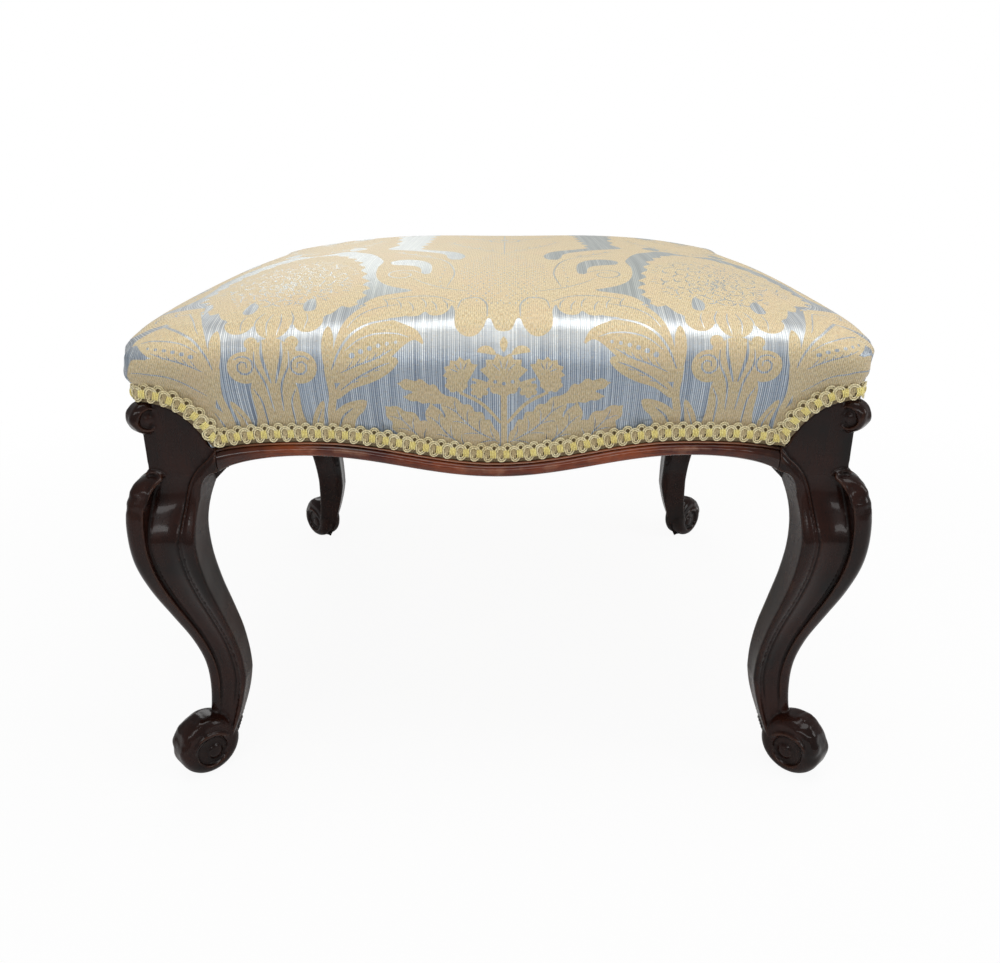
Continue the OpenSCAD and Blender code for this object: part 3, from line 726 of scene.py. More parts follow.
# Cloth simulation of the cover: frames, the ring it is tacked from, its stiffness, and the cap of its move in mm
swellSizes = {"frames": 20, "tackedFrom": 2.92, "quality": 6, "mass": 0.3, "stretch": 12, "shear": 6, "bend": 1.2,
              "pressure": 0.3, "cap": 3.0}
edgeHalf = seatSizes["fullHalf"] - seatSizes["rollIn"] * (1 - math.cos(math.radians(seatSizes["rollFrom"])))
edgeZ = seatSizes["fullZ"] + seatSizes["rollH"] * math.sin(math.radians(seatSizes["rollFrom"]))
rollAngle = np.radians(np.linspace(seatSizes["rollFrom"], 0, 80))
rollHalf = seatSizes["fullHalf"] - seatSizes["rollIn"] + seatSizes["rollIn"] * np.cos(rollAngle)
rollRise = seatSizes["fullZ"] + seatSizes["rollH"] * np.sin(rollAngle)
rollRun = np.concatenate([[0], np.cumsum(np.hypot(np.diff(rollHalf), np.diff(rollRise)))])
rollLength = rollRun[-1]


# Height of the seat's lower line at x along a side, moved out by off
def lowLine(x, off):
    a = np.abs(x)
    r = legSizes["shieldR"] + off
    turn = shieldX - math.sqrt(r * r - (float(apronTop(postIn)) + off - shieldZ) ** 2)
    arc = shieldZ + np.sqrt(np.clip(r * r - np.clip(shieldX - a, 0, None) ** 2, 0, None))
    return np.where(a < turn, apronTop(a) + off, arc)


def gimpTop(x):
    return np.minimum(lowLine(x, seatSizes["gimpW"] + 1), seatSizes["padZ"] - 2)


def sideLength(x):
    return np.hypot(seatSizes["fullZ"] - gimpTop(x), seatSizes["fullHalf"] - seatSizes["baseHalf"]) + 1


# The cover and its gimp stand further out over the legs
def cornerOut(x):
    return seatSizes["cornerOut"] * ease((np.abs(x) - 168) / 28)


# Half width, height and corner radius of the form at ring q, over the point x along a side
def ringShape(q, x):
    s = seatSizes
    along = np.clip(q - 1, 0, 1) * rollLength
    rollOut, rollUp = np.interp(along, rollRun, rollHalf), np.interp(along, rollRun, rollRise)
    t = np.clip(q - 2, 0, 1)
    top = gimpTop(x)
    z = mix(s["fullZ"], top, t)
    lowHalf = s["baseHalf"] + s["underGimp"] + cornerOut(x)
    half = lowHalf + (s["fullHalf"] - lowHalf) * np.sin(np.pi / 2 * (1 - t) ** 0.9)
    under = np.clip(q - 3, 0, 1)
    h = np.where(q <= 1, q * edgeHalf, np.where(q <= 2, rollOut, np.where(q <= 3, half, lowHalf - 0.5 * under)))
    zz = np.where(q <= 2, rollUp, np.where(q <= 3, z, mix(top, lowLine(x, 1.0), under)))
    rollCorner, sideCorner = mix(s["edgeCorner"], s["corner"], ease(q - 1)), mix(s["corner"], s["baseCorner"], ease(t))
    r = np.where(q <= 1, s["edgeCorner"] * ease((q - 0.5) / 0.5), np.where(q <= 2, rollCorner, sideCorner))
    return h, zz, r


# Half a side's length, up to the middle of its round corner
def halfLength(h, r):
    return h - r + r * np.pi / 4


edgeArc = edgeHalf - seatSizes["edgeCorner"] * (1 - math.pi / 4)
clothGive = edgeArc / edgeHalf


def ringPoint(q, side, u):
    x = u * edgeHalf * np.minimum(1, q)
    for _ in range(3):
        h, z, r = ringShape(q, x)
        arc = halfLength(h, r)
        a = np.abs(u) * arc
        turn = np.clip((a - (h - r)) / np.maximum(r, 1e-6), 0, np.pi / 4)
        x = np.where(a > h - r, h - r + r * np.sin(turn), a)
    y = -np.where(a > h - r, h - r + r * np.cos(turn), h)
    x = x * np.sign(u)
    s, c = np.sin(side * np.pi / 2), np.cos(side * np.pi / 2)
    px, py = x * c - y * s, x * s + y * c
    ax, ay = np.clip(np.abs(px) / edgeHalf, 0, 1), np.clip(np.abs(py) / edgeHalf, 0, 1)
    f = seatSizes["flat"]
    z = np.where(q <= 1, edgeZ + seatSizes["crown"] * (1 - ax**f) * (1 - ay**f), z)
    rise = np.clip((z - seatSizes["fullZ"]) / (edgeZ - seatSizes["fullZ"]), 0, 1)
    drop = seatSizes["drop"] - seatSizes["frontDrop"] * py / seatSizes["fullHalf"]
    z = z - drop * rise * (np.abs(px * py) / seatSizes["fullHalf"] ** 2) ** 2.5
    return np.stack([px, py, z], -1)


# Where a point of the flat cloth lies on the form: ring, side and place along the side
def clothPlace(c):
    ax, ay = np.abs(c[:, 0]), np.abs(c[:, 1])
    side = np.where(ay >= ax, np.where(c[:, 1] < 0, 0, 2), np.where(c[:, 0] > 0, 1, 3))
    d = np.maximum(ax, ay)
    l = np.choose(side, [c[:, 0], c[:, 1], -c[:, 0], -c[:, 1]])
    run = d - edgeHalf
    x = np.clip(np.abs(l) * clothGive, 0, stile)
    long = sideLength(x)
    behind = gimpTop(x) - lowLine(x, 1.0)
    past = run - rollLength
    onSide = np.where(run <= rollLength + long, 2 + past / long, 3 + (past - long) / behind)
    q = np.where(run <= 0, d / edgeHalf, np.where(run <= rollLength, 1 + run / rollLength, onSide))
    q = np.clip(q, 0, 4)
    h, _, r = ringShape(q, x)
    arc = halfLength(h, r)
    give = np.where(q < 1, arc / np.maximum(h, 1e-6), clothGive)
    u = l * give / np.maximum(arc, 1e-6)
    return q, side, np.clip(u, -1, 1)


# The flat outline of the cloth: four flaps, with the spare cloth at each corner folded away along the pleat
def clothOutline():
    q = np.linspace(1, 4, 46)[1:]
    h, _, r = ringShape(q, np.full(len(q), edgeHalf))
    wide = halfLength(h, r) / clothGive
    long, behind = sideLength(wide * clothGive), gimpTop(stile) - lowLine(stile, 1.0)
    onSide = np.where(q <= 3, (q - 2) * long, long + (q - 3) * behind)
    reach = edgeHalf + np.where(q <= 2, (q - 1) * rollLength, rollLength + onSide)
    edge = np.stack([wide, -reach], 1)
    l = np.linspace(-wide[-1], wide[-1], 150)[1:-1]
    x = np.clip(np.abs(l) * clothGive, 0, stile)
    hem = np.stack([l, -(edgeHalf + rollLength + sideLength(x) + gimpTop(x) - lowLine(x, 1.0)) + 0.02], 1)
    flap = np.vstack([[[-edgeHalf, -edgeHalf]], edge * [-1, 1], hem, edge[::-1]])
    loops = []
    for k in range(4):
        a = k * math.pi / 2
        turn = np.array([[math.cos(a), math.sin(a)], [-math.sin(a), math.cos(a)]])
        loops.append(flap @ turn)
    return np.vstack(loops)


# Coarse form for the simulation: rings of equal counts, open at the bottom
def coarseForm():
    q = np.concatenate([[0.0], np.linspace(0.03, 4, seatSizes["ringsQ"])])
    u = np.linspace(-1, 1, seatSizes["sideU"])[:-1]
    side = np.repeat(np.arange(4), len(u))
    around = np.tile(u, 4)
    rings = [ringPoint(np.full(len(side), v), side, around) for v in q[1:]]
    verts = np.vstack([[[0, 0, edgeZ + seatSizes["crown"]]]] + rings)
    n = len(side)
    faces = [(0, 1 + k, 1 + (k + 1) % n) for k in range(n)]
    for i in range(len(q) - 2):
        for k in range(n):
            m = (k + 1) % n
            faces.append((1 + i * n + k, 1 + (i + 1) * n + k, 1 + (i + 1) * n + m, 1 + i * n + m))
    return q, n, verts, faces


# Pressure from the stuffing swells the tacked-down cloth; the move is capped and evened out
def swell():
    q, n, verts, faces = coarseForm()
    s = swellSizes
    form = makeMesh("seatForm", verts, faces)
    pinned = form.vertex_groups.new(name="tacked")
    held = [1 + i * n + k for i in range(len(q) - 1) for k in range(n) if q[i + 1] > s["tackedFrom"]]
    pinned.add(held, 1.0, "REPLACE")
    cloth = form.modifiers.new("cloth", "CLOTH").settings
    cloth.quality = s["quality"]
    cloth.mass = s["mass"]
    cloth.tension_stiffness = cloth.compression_stiffness = s["stretch"]
    cloth.shear_stiffness = s["shear"]
    cloth.bending_stiffness = s["bend"]
    cloth.vertex_group_mass = "tacked"
    cloth.use_pressure = True
    cloth.uniform_pressure_force = s["pressure"]
    cloth.effector_weights.gravity = 0.0
    for f in range(1, s["frames"] + 1):
        bpy.context.scene.frame_set(f)
    depsgraph = bpy.context.evaluated_depsgraph_get()
    made = readPoints(form.evaluated_get(depsgraph).to_mesh())
    bpy.data.objects.remove(form)
    bpy.context.scene.frame_set(1)
    move = made - verts
    far = np.linalg.norm(move, axis=1, keepdims=True)
    move = move * np.minimum(1, s["cap"] / np.maximum(far, 1e-9))
    most, mean = round(float(far.max()), 1), round(float(far.mean()), 2)
    print("seat swelled by up to", most, "mm before the cap, mean", mean)
    grid = np.vstack([np.repeat(move[:1], n, 0), move[1:]]).reshape(len(q), n, 3)
    for _ in range(2):
        grid = 0.5 * grid + 0.25 * (np.roll(grid, 1, 1) + np.roll(grid, -1, 1))
    grid[0] = grid[0].mean(0)
    return q, n, grid


def gridValue(q, n, grid, ring, side, u):
    row = np.clip(np.interp(ring, q, np.arange(len(q))), 0, len(q) - 1.001)
    col = (side * (n // 4) + (u + 1) / 2 * (n // 4)) % n
    i, j = row.astype(int), col.astype(int)
    a, b = (row - i)[:, None], (col - j)[:, None]
    k = (j + 1) % n
    return (grid[i, j] * (1 - b) + grid[i, k] * b) * (1 - a) + (grid[i + 1, j] * (1 - b) + grid[i + 1, k] * b) * a


# Damask figure, drawn flat as outlines of figure (1) and ground (0) that are painted in order.
# Motifs stand on two mirror axes, as such cloth is woven, and repeat up the cloth.
damask = {"axis": 4.5, "half": 145.5, "repeat": 470.0, "line": 1.1, "vein": 0.7}


class Drawing:
    def __init__(self):
        self.shapes = []

    def add(self, kind, outline):
        p = np.asarray(outline, float)
        x, y = p[:, 0], p[:, 1]
        if (x * np.roll(y, -1) - y * np.roll(x, -1)).sum() < 0:
            p = p[::-1]
        self.shapes.append((kind, p))

    def blob(self, kind, points, step=2.4):
        around = sum(math.dist(a, b) for a, b in zip(points, points[1:] + points[:1]))
        self.add(kind, smoothPath(points, max(10, int(around / step)), True))

    # A line that swells in its middle
    def line(self, points, width, kind=0, ends=0.35):
        long = sum(math.dist(a, b) for a, b in zip(points, points[1:]))
        p = smoothPath(points, max(4, int(long / 3.2) + 1))
        t = np.gradient(p, axis=0)
        t /= np.linalg.norm(t, axis=1)[:, None] + 1e-9
        w = width / 2 * (ends + (1 - ends) * np.sin(np.linspace(0, np.pi, len(p))) ** 0.6)[:, None]
        n = np.stack([-t[:, 1], t[:, 0]], 1) * w
        self.add(kind, np.vstack([p + n, (p - n)[::-1]]))

    def disc(self, kind, x, y, r, sides=10):
        a = np.linspace(0, 2 * np.pi, sides, endpoint=False)
        self.add(kind, np.stack([x + r * np.cos(a), y + r * np.sin(a)], 1))

    # A leaf along a bent spine, with rounded lobes that point to its tip, a midrib and side veins
    def leaf(self, spine, width, lobes=0, depth=0.25, veins=True, kind=1):
        long = sum(math.dist(a, b) for a, b in zip(spine, spine[1:]))
        p = smoothPath(spine, max(12, int(long / 2.0)))
        t = np.linspace(0, 1, len(p))
        d = np.gradient(p, axis=0)
        d /= np.linalg.norm(d, axis=1)[:, None] + 1e-9
        n = np.stack([-d[:, 1], d[:, 0]], 1)
        w = (width / 2 * np.sin(np.pi * t**0.8) ** 0.75)[:, None]
        lean = 0
        if lobes:
            wave = np.abs(np.sin(np.pi * (t * lobes + 0.15)))[:, None]
            w, lean = w * (1 - depth * (1 - wave)), depth * width * 0.25 * wave * d
        if kind is not None:
            self.add(kind, np.vstack([p + n * w + lean, (p - n * w + lean)[::-1]]))
        if veins:
            core = p[int(len(p) * 0.04):int(len(p) * 0.84)][::3]
            self.line([tuple(c) for c in core], damask["line"])
            for j in range(1, lobes):
                i = int(len(p) * (j - 0.55) / lobes)
                e = min(len(p) - 1, i + int(len(p) * 0.42 / lobes) + 2)
                for s in (1, -1):
                    out = s * n[e] * w[e]
                    vein = [p[i], mix(p[i], p[e], 0.7) + out * 0.38, p[e] + out * 0.72]
                    self.line([tuple(v) for v in vein], damask["vein"])

    def petals(self, kind, x, y, r, count, depth, squash=1.0):
        a = np.linspace(0, 2 * np.pi, max(24, int(r * 2.6)), endpoint=False)
        rr = r * (1 - depth * (1 - np.abs(np.cos(count * a / 2)) ** 0.7))
        self.add(kind, np.stack([x + rr * np.sin(a), y + rr * np.cos(a) * squash], 1))

    def volute(self, x, y, r, start, turns, hand, width):
        a = np.linspace(0, 2 * np.pi * turns, int(11 * turns) + 5)
        rr = r * (1 - 0.72 * a / a[-1])
        pts = np.stack([x + rr * np.cos(start + hand * a), y + rr * np.sin(start + hand * a)], 1)
        self.line([tuple(q) for q in pts], width, 0, 0.6)


def bothSides(x, draw):
    for s in (-1, 1):
        draw(s, lambda pts: [(x + s * a, b) for a, b in pts])


# The gold mass of the upper field, then the ground that sets medallion, flower and plume apart
def fieldGround(d, half):
    foot = [(0, -229.5), (5, -228), (8, -221.5), (10.5, -221), (13, -227), (18, -232), (25, -232), (30.5, -226),
            (31, -213), (33.5, -206), (35.5, -212), (40, -216.5), (46.5, -216.5), (50, -212.5), (54, -216.5),
            (61, -217), (66, -213), (70, -210.5), (76, -212), (83, -208), (88, -203.5), (96, -199), (104, -202),
            (110, -211), (116, -213), (half, -216)]
    head = [(half, 176), (half - 14, 168), (half - 26, 150), (half - 40, 158), (92, 170), (84, 154), (70, 148),
            (60, 166), (46, 172), (36, 158), (24, 152), (12, 164), (0, 160)]
    up = np.arange(-212, 174, 4.9)
    field = np.vstack([smoothPath(foot, 150), np.stack([np.full(len(up), half), up], 1), smoothPath(head, 90)])
    down = np.arange(157, -228, -4.9)
    field = np.vstack([field, np.stack([np.zeros(len(down)), down], 1)])
    d.add(1, field)
    d.add(1, field * [-1, 1])
    strip = [(104, -213), (99, -205), (94.5, -201.5), (96, -196), (90, -190), (95, -184), (88.5, -178), (96, -171),
             (90.5, -165), (97.5, -156), (93.5, -148), (99.5, -138), (96.5, -128), (103, -118), (101, -107),
             (109.5, -98), (108.5, -88), (117, -80), (117.5, -70), (126, -64), (128, -56), (137, -53), (half, -49),
             (half, -46), (137, -43), (129, -33), (119, -35), (112, -48), (103, -60), (95, -78), (89.5, -96),
             (86, -112), (88, -132), (87.5, -152), (84, -166), (77, -175), (68, -180), (60, -184), (70, -187.5),
             (80, -190.5), (86.5, -195), (91, -201), (97, -209)]
    hollow = [(51, -150), (50, -136), (52, -121), (59, -109), (71, -104), (80, -111), (78, -123), (68, -126),
              (60, -131), (57, -141), (56.5, -150)]
    band = [(32, -105), (28.5, -93), (31, -80), (37, -68), (47, -58), (58, -49), (66, -38), (63, -26), (68, -17),
            (62, -5), (67, 6), (61, 18), (66, 30), (60.5, 42), (66, 55), (61, 68), (66, 82), (60, 96), (61, 112),
            (50, 120), (46, 136), (34, 143), (26, 156), (12, 160), (0, 166), (0, 171), (16, 170), (36, 162), (54, 144),
            (70, 128), (84, 116), (95, 102), (98, 84), (92, 70), (95, 50), (88.5, 36), (92, 16), (87, 2), (91, -16),
            (93, -31), (84, -40), (72, -50), (60, -61), (49, -73), (43, -84), (41.5, -96), (38, -105)]
    for shape in (strip, hollow, band):
        p = smoothPath(shape, int(2.0 * len(shape)) + 8, True)
        d.add(0, p)
        d.add(0, p * [-1, 1])
    d.strip = [np.array(strip), np.array(strip) * [-1, 1] + [2 * half, 0]]


# A full-blown flower with frilled petals, told mostly by broken lines in the gold
def peony(d, x, rng):
    cy, wide, high = -150, 50, 88
    d.blob(1, [(x - 33, -212), (x - 20, -221), (x + 20, -221), (x + 33, -212), (x + 40, -195), (x, -180),
               (x - 40, -195)])
    for a, cyy, r in ((-22, -219, 9.3), (0, -221.5, 11), (22, -219, 9.3)):
        d.disc(1, x + a, cyy, r, 22)
    for s in (-1, 1):
        for a, b, r in ((52, -203, 7), (55, -191, 6)):
            d.leaf([(x + s * (a - 14), b + 5), (x + s * (a - 5), b + 1), (x + s * (a + 3), b - 1)], r, 0, 0, False)
        d.blob(0, [(x + s * 17, -207), (x + s * 15, -197), (x + s * 20, -190), (x + s * 23, -197),
                   (x + s * 23.5, -206)])
        d.line([(x + s * 3, -230), (x + s * 4.5, -219), (x + s * 2.5, -209)], 0.9)
        d.line([(x + s * 11.5, -226), (x + s * 12, -216), (x + s * 8.5, -207)], 1.0)
        d.line([(x + s * 20, -226), (x + s * 21, -217), (x + s * 19, -210)], 0.8)
    for ring, (share, count) in enumerate(((0.94, 17), (0.78, 15), (0.62, 13), (0.46, 11), (0.30, 8), (0.16, 5))):
        for k in range(count):
            mid = 2 * math.pi * (k + 0.5 * (ring % 2)) / count + rng.uniform(-0.06, 0.06)
            if ring == 0 and math.cos(mid) < -0.72:
                continue
            squash = high / wide if math.cos(mid) > 0 else 1.05
            at = lambda q, b: (x + q * wide * math.sin(b), cy - 12 + q * wide * squash * 0.93 * math.cos(b))
            span = math.pi / count
            swell = share * rng.uniform(0.96, 1.03)
            if ring:
                frill = lambda f: at(swell * (1.0 - 0.10 * f * f + 0.015 * math.cos(9 * f)), mid + f * span)
                for run in ((-0.95, -0.62, -0.25), (0.05, 0.5, 0.92)):
                    if rng.random() < 0.86:
                        d.line([frill(f) for f in run], 1.25)
            d.line([at(q, mid + span * rng.uniform(0.9, 1.1)) for q in (swell - 0.13, swell - 0.07, swell - 0.02)], 1.0)
            for f in (-0.6, -0.2, 0.25, 0.6):
                if rng.random() < 0.66:
                    lo = swell - 0.15 + rng.uniform(0, 0.06)
                    d.line([at(lo + q, mid + f * span * b) for q, b in ((0, 1), (0.03, 1.03), (0.065, 1.06))], 0.8)
    for k in range(7):
        d.disc(0, x + 4.2 * math.sin(k * 0.9), cy - 12 + 7.0 * math.cos(k * 0.9), 1.1, 6)


# A paired-volute palmette on its own axis, flanked by long leaves with dotted hollows
def palmette(d, x):
    d.blob(1, [(x - 14, -262), (x - 15, -285), (x - 17, -312), (x + 17, -312), (x + 15, -285), (x + 14, -262),
               (x, -252)])
    d.blob(1, [(x - 10, -236), (x, -231.5), (x + 10, -236), (x + 15, -246), (x + 13, -262), (x, -268), (x - 13, -262),
               (x - 15, -246)])

    def half(s, side):
        d.disc(1, x + s * 17.5, -251.5, 10.8, 26)
        d.volute(x + s * 17.8, -251.0, 7.4, math.pi / 2 - s * 0.9, 1.45, s, 1.3)
        d.disc(1, x + s * 12.8, -235.0, 4.3, 14)
        d.line([(x + s * 12.8, -238), (x + s * 14.5, -243)], 4.2, 1, 1.0)
        d.line(side([(6.3, -233.5), (6.0, -245), (1.4, -262)]), 2.0)
        d.line(side([(10.8, -240.5), (10.6, -250), (5.0, -263), (3.0, -283)]), 1.3)
        d.line(side([(13.5, -266), (9.5, -276), (9.0, -298)]), 1.2)
        # acanthus that rises behind the dotted leaf and joins the medallion
        d.blob(1, side([(37, -254), (39, -240), (43, -226), (48, -214), (55, -204.5), (66, -198), (82, -193),
                        (88, -204), (84, -216), (66, -221), (48, -240)]))
        d.blob(1, side([(35, -224), (38.8, -232), (38.4, -246), (35.4, -258), (32.0, -246), (31.8, -233)]))
        d.line(side([(35, -252), (36.5, -270), (33.5, -286), (32, -312)]), 5.0, 1, 0.9)
        d.blob(1, side([(34.5, -258), (37.5, -246), (45, -233), (55, -223.5), (68, -218), (82, -223.5), (91.5, -229),
                        (95.5, -237.5), (89.5, -234.5), (83, -238), (75, -245), (65, -251), (53, -257), (41, -262)]))
        d.line(side([(37.5, -253), (42.5, -241), (50, -230.5), (61, -223), (74, -220), (86, -219)]), 1.7)
        d.line(side([(47, -226), (54, -214), (64, -207), (78, -203)]), 1.0)
        d.line(side([(46, -241), (55, -234), (66, -230.5), (78, -230.5), (86, -233)]), 1.0)
        d.line(side([(43, -255), (54, -250), (66, -245.5), (76, -240)]), 1.1)
        for k, b in enumerate((-244, -241.5, -239.6, -238, -236.8, -236)):
            d.disc(0, x + s * (50.5 + 5.5 * k), b, 1.9 - 0.15 * k, 7)
        for a in (47, 52, 57, 62, 67):
            up = 0.30 * (a - 47)
            d.line(side([(a, -252.5 + up), (a + 2.5, -249.5 + up), (a + 4, -246.8 + up)]), 0.7)
        d.blob(1, side([(38, -268), (46, -258), (57, -250.5), (68, -246), (77.5, -245), (79, -249), (72, -256),
                        (62, -261.5), (50, -266), (39, -274)]))
        d.line(side([(42, -267), (54, -258), (66, -251.5), (74, -248.5)]), 1.3)
        for a in (50, 57, 64):
            d.line(side([(a, -261.5 + 0.55 * (a - 50)), (a + 4, -260.5 + 0.55 * (a - 50))]), 0.7)
        d.blob(1, side([(31, -312), (33.5, -289), (40.5, -279.5), (49, -275), (57.5, -274.5), (55.5, -282), (49, -290),
                        (43, -312)]))
        d.line(side([(36, -300), (40.5, -288), (48, -280.5)]), 1.3)
        d.blob(1, side([(17, -312), (20.5, -290), (27, -277), (30.5, -276), (28, -290), (25, -312)]))
        d.line(side([(21, -306), (23.5, -292), (28, -281)]), 0.9)

    bothSides(x, half)


# A small flower with a fringed top
def carnation(d, x, y, r, lean=0.0):
    pts = []
    for k in range(-5, 6):
        a = lean + k * 0.27
        rr = r * (1.0 if k % 2 else 0.80)
        pts.append((x + rr * math.sin(a) * 1.15, y + rr * math.cos(a)))
    pts += [(x + r * 0.35 * math.cos(lean), y - 0.55 * r), (x - r * 0.35 * math.cos(lean), y - 0.55 * r)]
    d.add(1, pts)
    for k in (-3, -1, 1, 3):
        a = lean + k * 0.27
        d.line([(x + q * r * math.sin(a), y + q * r * math.cos(a)) for q in (0.25, 0.5, 0.72)], 0.8)
    d.disc(1, x, y - 0.62 * r, r * 0.36, 10)


def spray(d, x):
    d.line([(x, -250), (x, -275), (x, -312)], 4.0, 1, 1.0)
    d.blob(1, [(x, -232.5), (x + 2.6, -237), (x, -242.5), (x - 2.6, -237)])
    carnation(d, x, -256, 13.5)
    d.petals(1, x, -262, 11, 8, 0.2, 0.8)

    def half(s, side):
        d.blob(1, side([(4.5, -244), (8, -239), (13.5, -238.5), (17, -242), (11.5, -243)]))
        d.line(side([(1, -268), (11, -262), (20, -259)]), 2.2, 1, 0.8)
        carnation(d, x + s * 26.5, -255.5, 10.5, s * 0.35)
        d.petals(1, x + s * 30, -262.5, 7.5, 7, 0.25, 0.8)
        d.petals(1, x + s * 15.5, -266, 6.2, 6, 0.3)
        d.line(side([(2, -290), (14, -276), (28, -268)]), 2.4, 1, 0.8)
        d.leaf(side([(36, -276), (46, -269), (58, -263.5), (67, -262)]), 14, 4, 0.45, False)
        d.leaf(side([(40, -275), (50, -272), (64, -271.5)]), 9, 3, 0.4, False)
        d.line(side([(4, -300), (20, -284), (38, -275)]), 2.4, 1, 0.8)
        d.leaf(side([(2, -306), (18, -296), (30, -283), (38, -270)]), 26, 5, 0.25)
        d.leaf(side([(22, -312), (36, -300), (44, -288), (47, -276)]), 20, 4, 0.25)
        d.leaf(side([(46, -318), (56, -302), (65, -290), (76, -279)]), 25, 5, 0.28)

    bothSides(x, half)
    for k in (-1, 0, 1):
        d.disc(0, x + 5.5 * k, -262 + 1.2 * abs(k), 1.3, 7)


# Lines within the medallion: scallop ribs, curls at its shoulders and a diapered body
def medallion(d, x, rng):
    def half(s, side):
        d.line(side([(10.5, -219), (11, -205), (17, -196), (27, -199), (29.5, -210)]), 1.2)
        for a, b in ((36, -210), (43, -212), (50, -208), (58, -212), (66, -209), (75, -207)):
            d.line(side([(a, b), (a + 0.5, b + 6), (a + 4, b + 12)]), 0.9)
        d.line(side([(31, -202), (44, -194), (60, -193), (78, -197)]), 1.1)
        d.line(side([(22, -186), (40, -180), (54, -170), (62, -160)]), 1.0)
        d.volute(x + s * 69.5, -152, 12.5, math.pi * 0.5 + s * 1.2, 1.3, -s, 1.2)
        d.line(side([(38, -178), (34, -150), (38, -122), (46, -104), (60, -92), (80, -86)]), 1.1)
        for k in range(7):
            d.disc(0, x + s * (42 + 1.2 * math.sin(k)), -176 + 8.5 * k, 0.9, 6)

    bothSides(x, half)
    for j in range(36):
        py = -204 + j * 3.6
        wide = 30 - 0.0042 * (py + 150) ** 2
        for i in range(-9, 10):
            px = i * 3.9 + (1.95 if j % 2 else 0)
            if abs(px) < wide and rng.random() < 0.74:
                w, h = rng.uniform(0.45, 0.85), rng.uniform(0.7, 1.5)
                d.add(0, [(x + px - w, py), (x + px, py - h), (x + px + w, py), (x + px, py + h)])


# Lobed leaves over the medallion, told by their ribs within the gold
def plume(d, x, half):
    d.leaf([(x, -88), (x, -30), (x, 50), (x, 150)], 100, 9, 0.22, True, None)

    def part(s, side):
        d.leaf(side([(2, -70), (22, -46), (38, -14), (48, 30)]), 30, 6, 0.3, True, None)
        d.leaf(side([(4, 10), (22, 36), (38, 66), (46, 104)]), 30, 6, 0.3, True, None)
        d.leaf(side([(3, 80), (14, 100), (22, 124), (20, 146)]), 20, 4, 0.3, True, None)
        d.leaf(side([(48, -96), (62, -84), (76, -66), (88, -46)]), 18, 4, 0.3, True, None)
        d.leaf(side([(half - 2, -34), (half - 18, -10), (half - 34, 24), (half - 42, 62)]), 34, 7, 0.3, True, None)
        d.leaf(side([(half - 3, 40), (half - 16, 70), (half - 30, 100), (half - 44, 122)]), 30, 6, 0.3, True, None)
        d.blob(0, side([(half - 24, 92), (half - 14, 78), (half - 6, 92), (half - 6, 112), (half - 16, 118)]))
        d.blob(0, side([(half - 34, -18), (half - 24, -30), (half - 20, -16), (half - 26, -4)]))

    bothSides(x, part)
    d.petals(0, x, 20, 14, 9, 0.2, 1.3)
    d.petals(1, x, 20, 12, 9, 0.2, 1.3)
    d.petals(0, x, 20, 4, 7, 0.2, 1.3)


# Where the cloth is drawn in over the front corners, leaves that lie folded elsewhere come to the face
def cornerLeaf(s, side):
    leaves.blob(1, side([(184, -258), (198, -253), (214, -248.5), (229, -246), (236, -249), (239, -262), (236, -278),
                         (222, -300), (198, -296), (186, -280)]))
    leaves.line(side([(190, -272), (206, -263.5), (222, -259), (236, -257.5)]), 1.2)
    leaves.line(side([(198, -286), (212, -276), (226, -271)]), 0.9)


leaves = Drawing()
bothSides(0, cornerLeaf)


def drawDamask(reach):
    d = Drawing()
    half = damask["half"]
    rng = random.Random(11)
    fieldGround(d, half)
    spray(d, 0)
    palmette(d, half)
    peony(d, half, rng)
    for p in d.strip:
        d.add(0, smoothPath([tuple(c) for c in p], int(2.0 * len(p)) + 8, True))
    medallion(d, 0, rng)
    plume(d, 0, half)
    shapes = []
    for kind, p in d.shapes:
        for row in (0, 1):
            for m in (-2, -1, 0, 1):
                q = p + [damask["axis"] + 2 * half * m, row * damask["repeat"]]
                lo, hi = q.min(0), q.max(0)
                if hi[0] > -reach and lo[0] < reach and hi[1] > -reach and lo[1] < reach:
                    shapes.append((kind, q))
    return shapes + [(kind, p + [damask["axis"], 0]) for kind, p in leaves.shapes]


# Damask: warp stripes of silver and blue satin under a figure woven in gold. Height sets the tone: the sides
# are darkened as painted shade, the roll is paled as a painted highlight, and the top is evened to a paler,
# flatter grey-green. The first three are heights in metres, the last sets the fine threads.
clothShade = {"side": 0.296, "roll": 0.322, "top": 0.340, "thread": 5.0}


def clothBase(name, **sockets):
    m, tree, shader = finish(name, **sockets)
    uv = stored(tree, "cloth", "Vector")
    weft = drawnOut(tree, uv, 0.10, 1.0)
    up = node(tree, "ShaderNodeSeparateXYZ", {0: objectPlace(tree)}).outputs["Z"]
    across = node(tree, "ShaderNodeSeparateXYZ", {0: uv}).outputs["X"]
    thread = maths(tree, "SINE", times(tree, across, clothShade["thread"]))
    # painted shade: a mask by height, 1 on the sides below the roll and 0 from the roll up
    side = ramp(tree, up, [(clothShade["side"], 1.0), (clothShade["roll"], 0.0)], "EASE")
    return m, tree, shader, uv, weft, thread, up, side


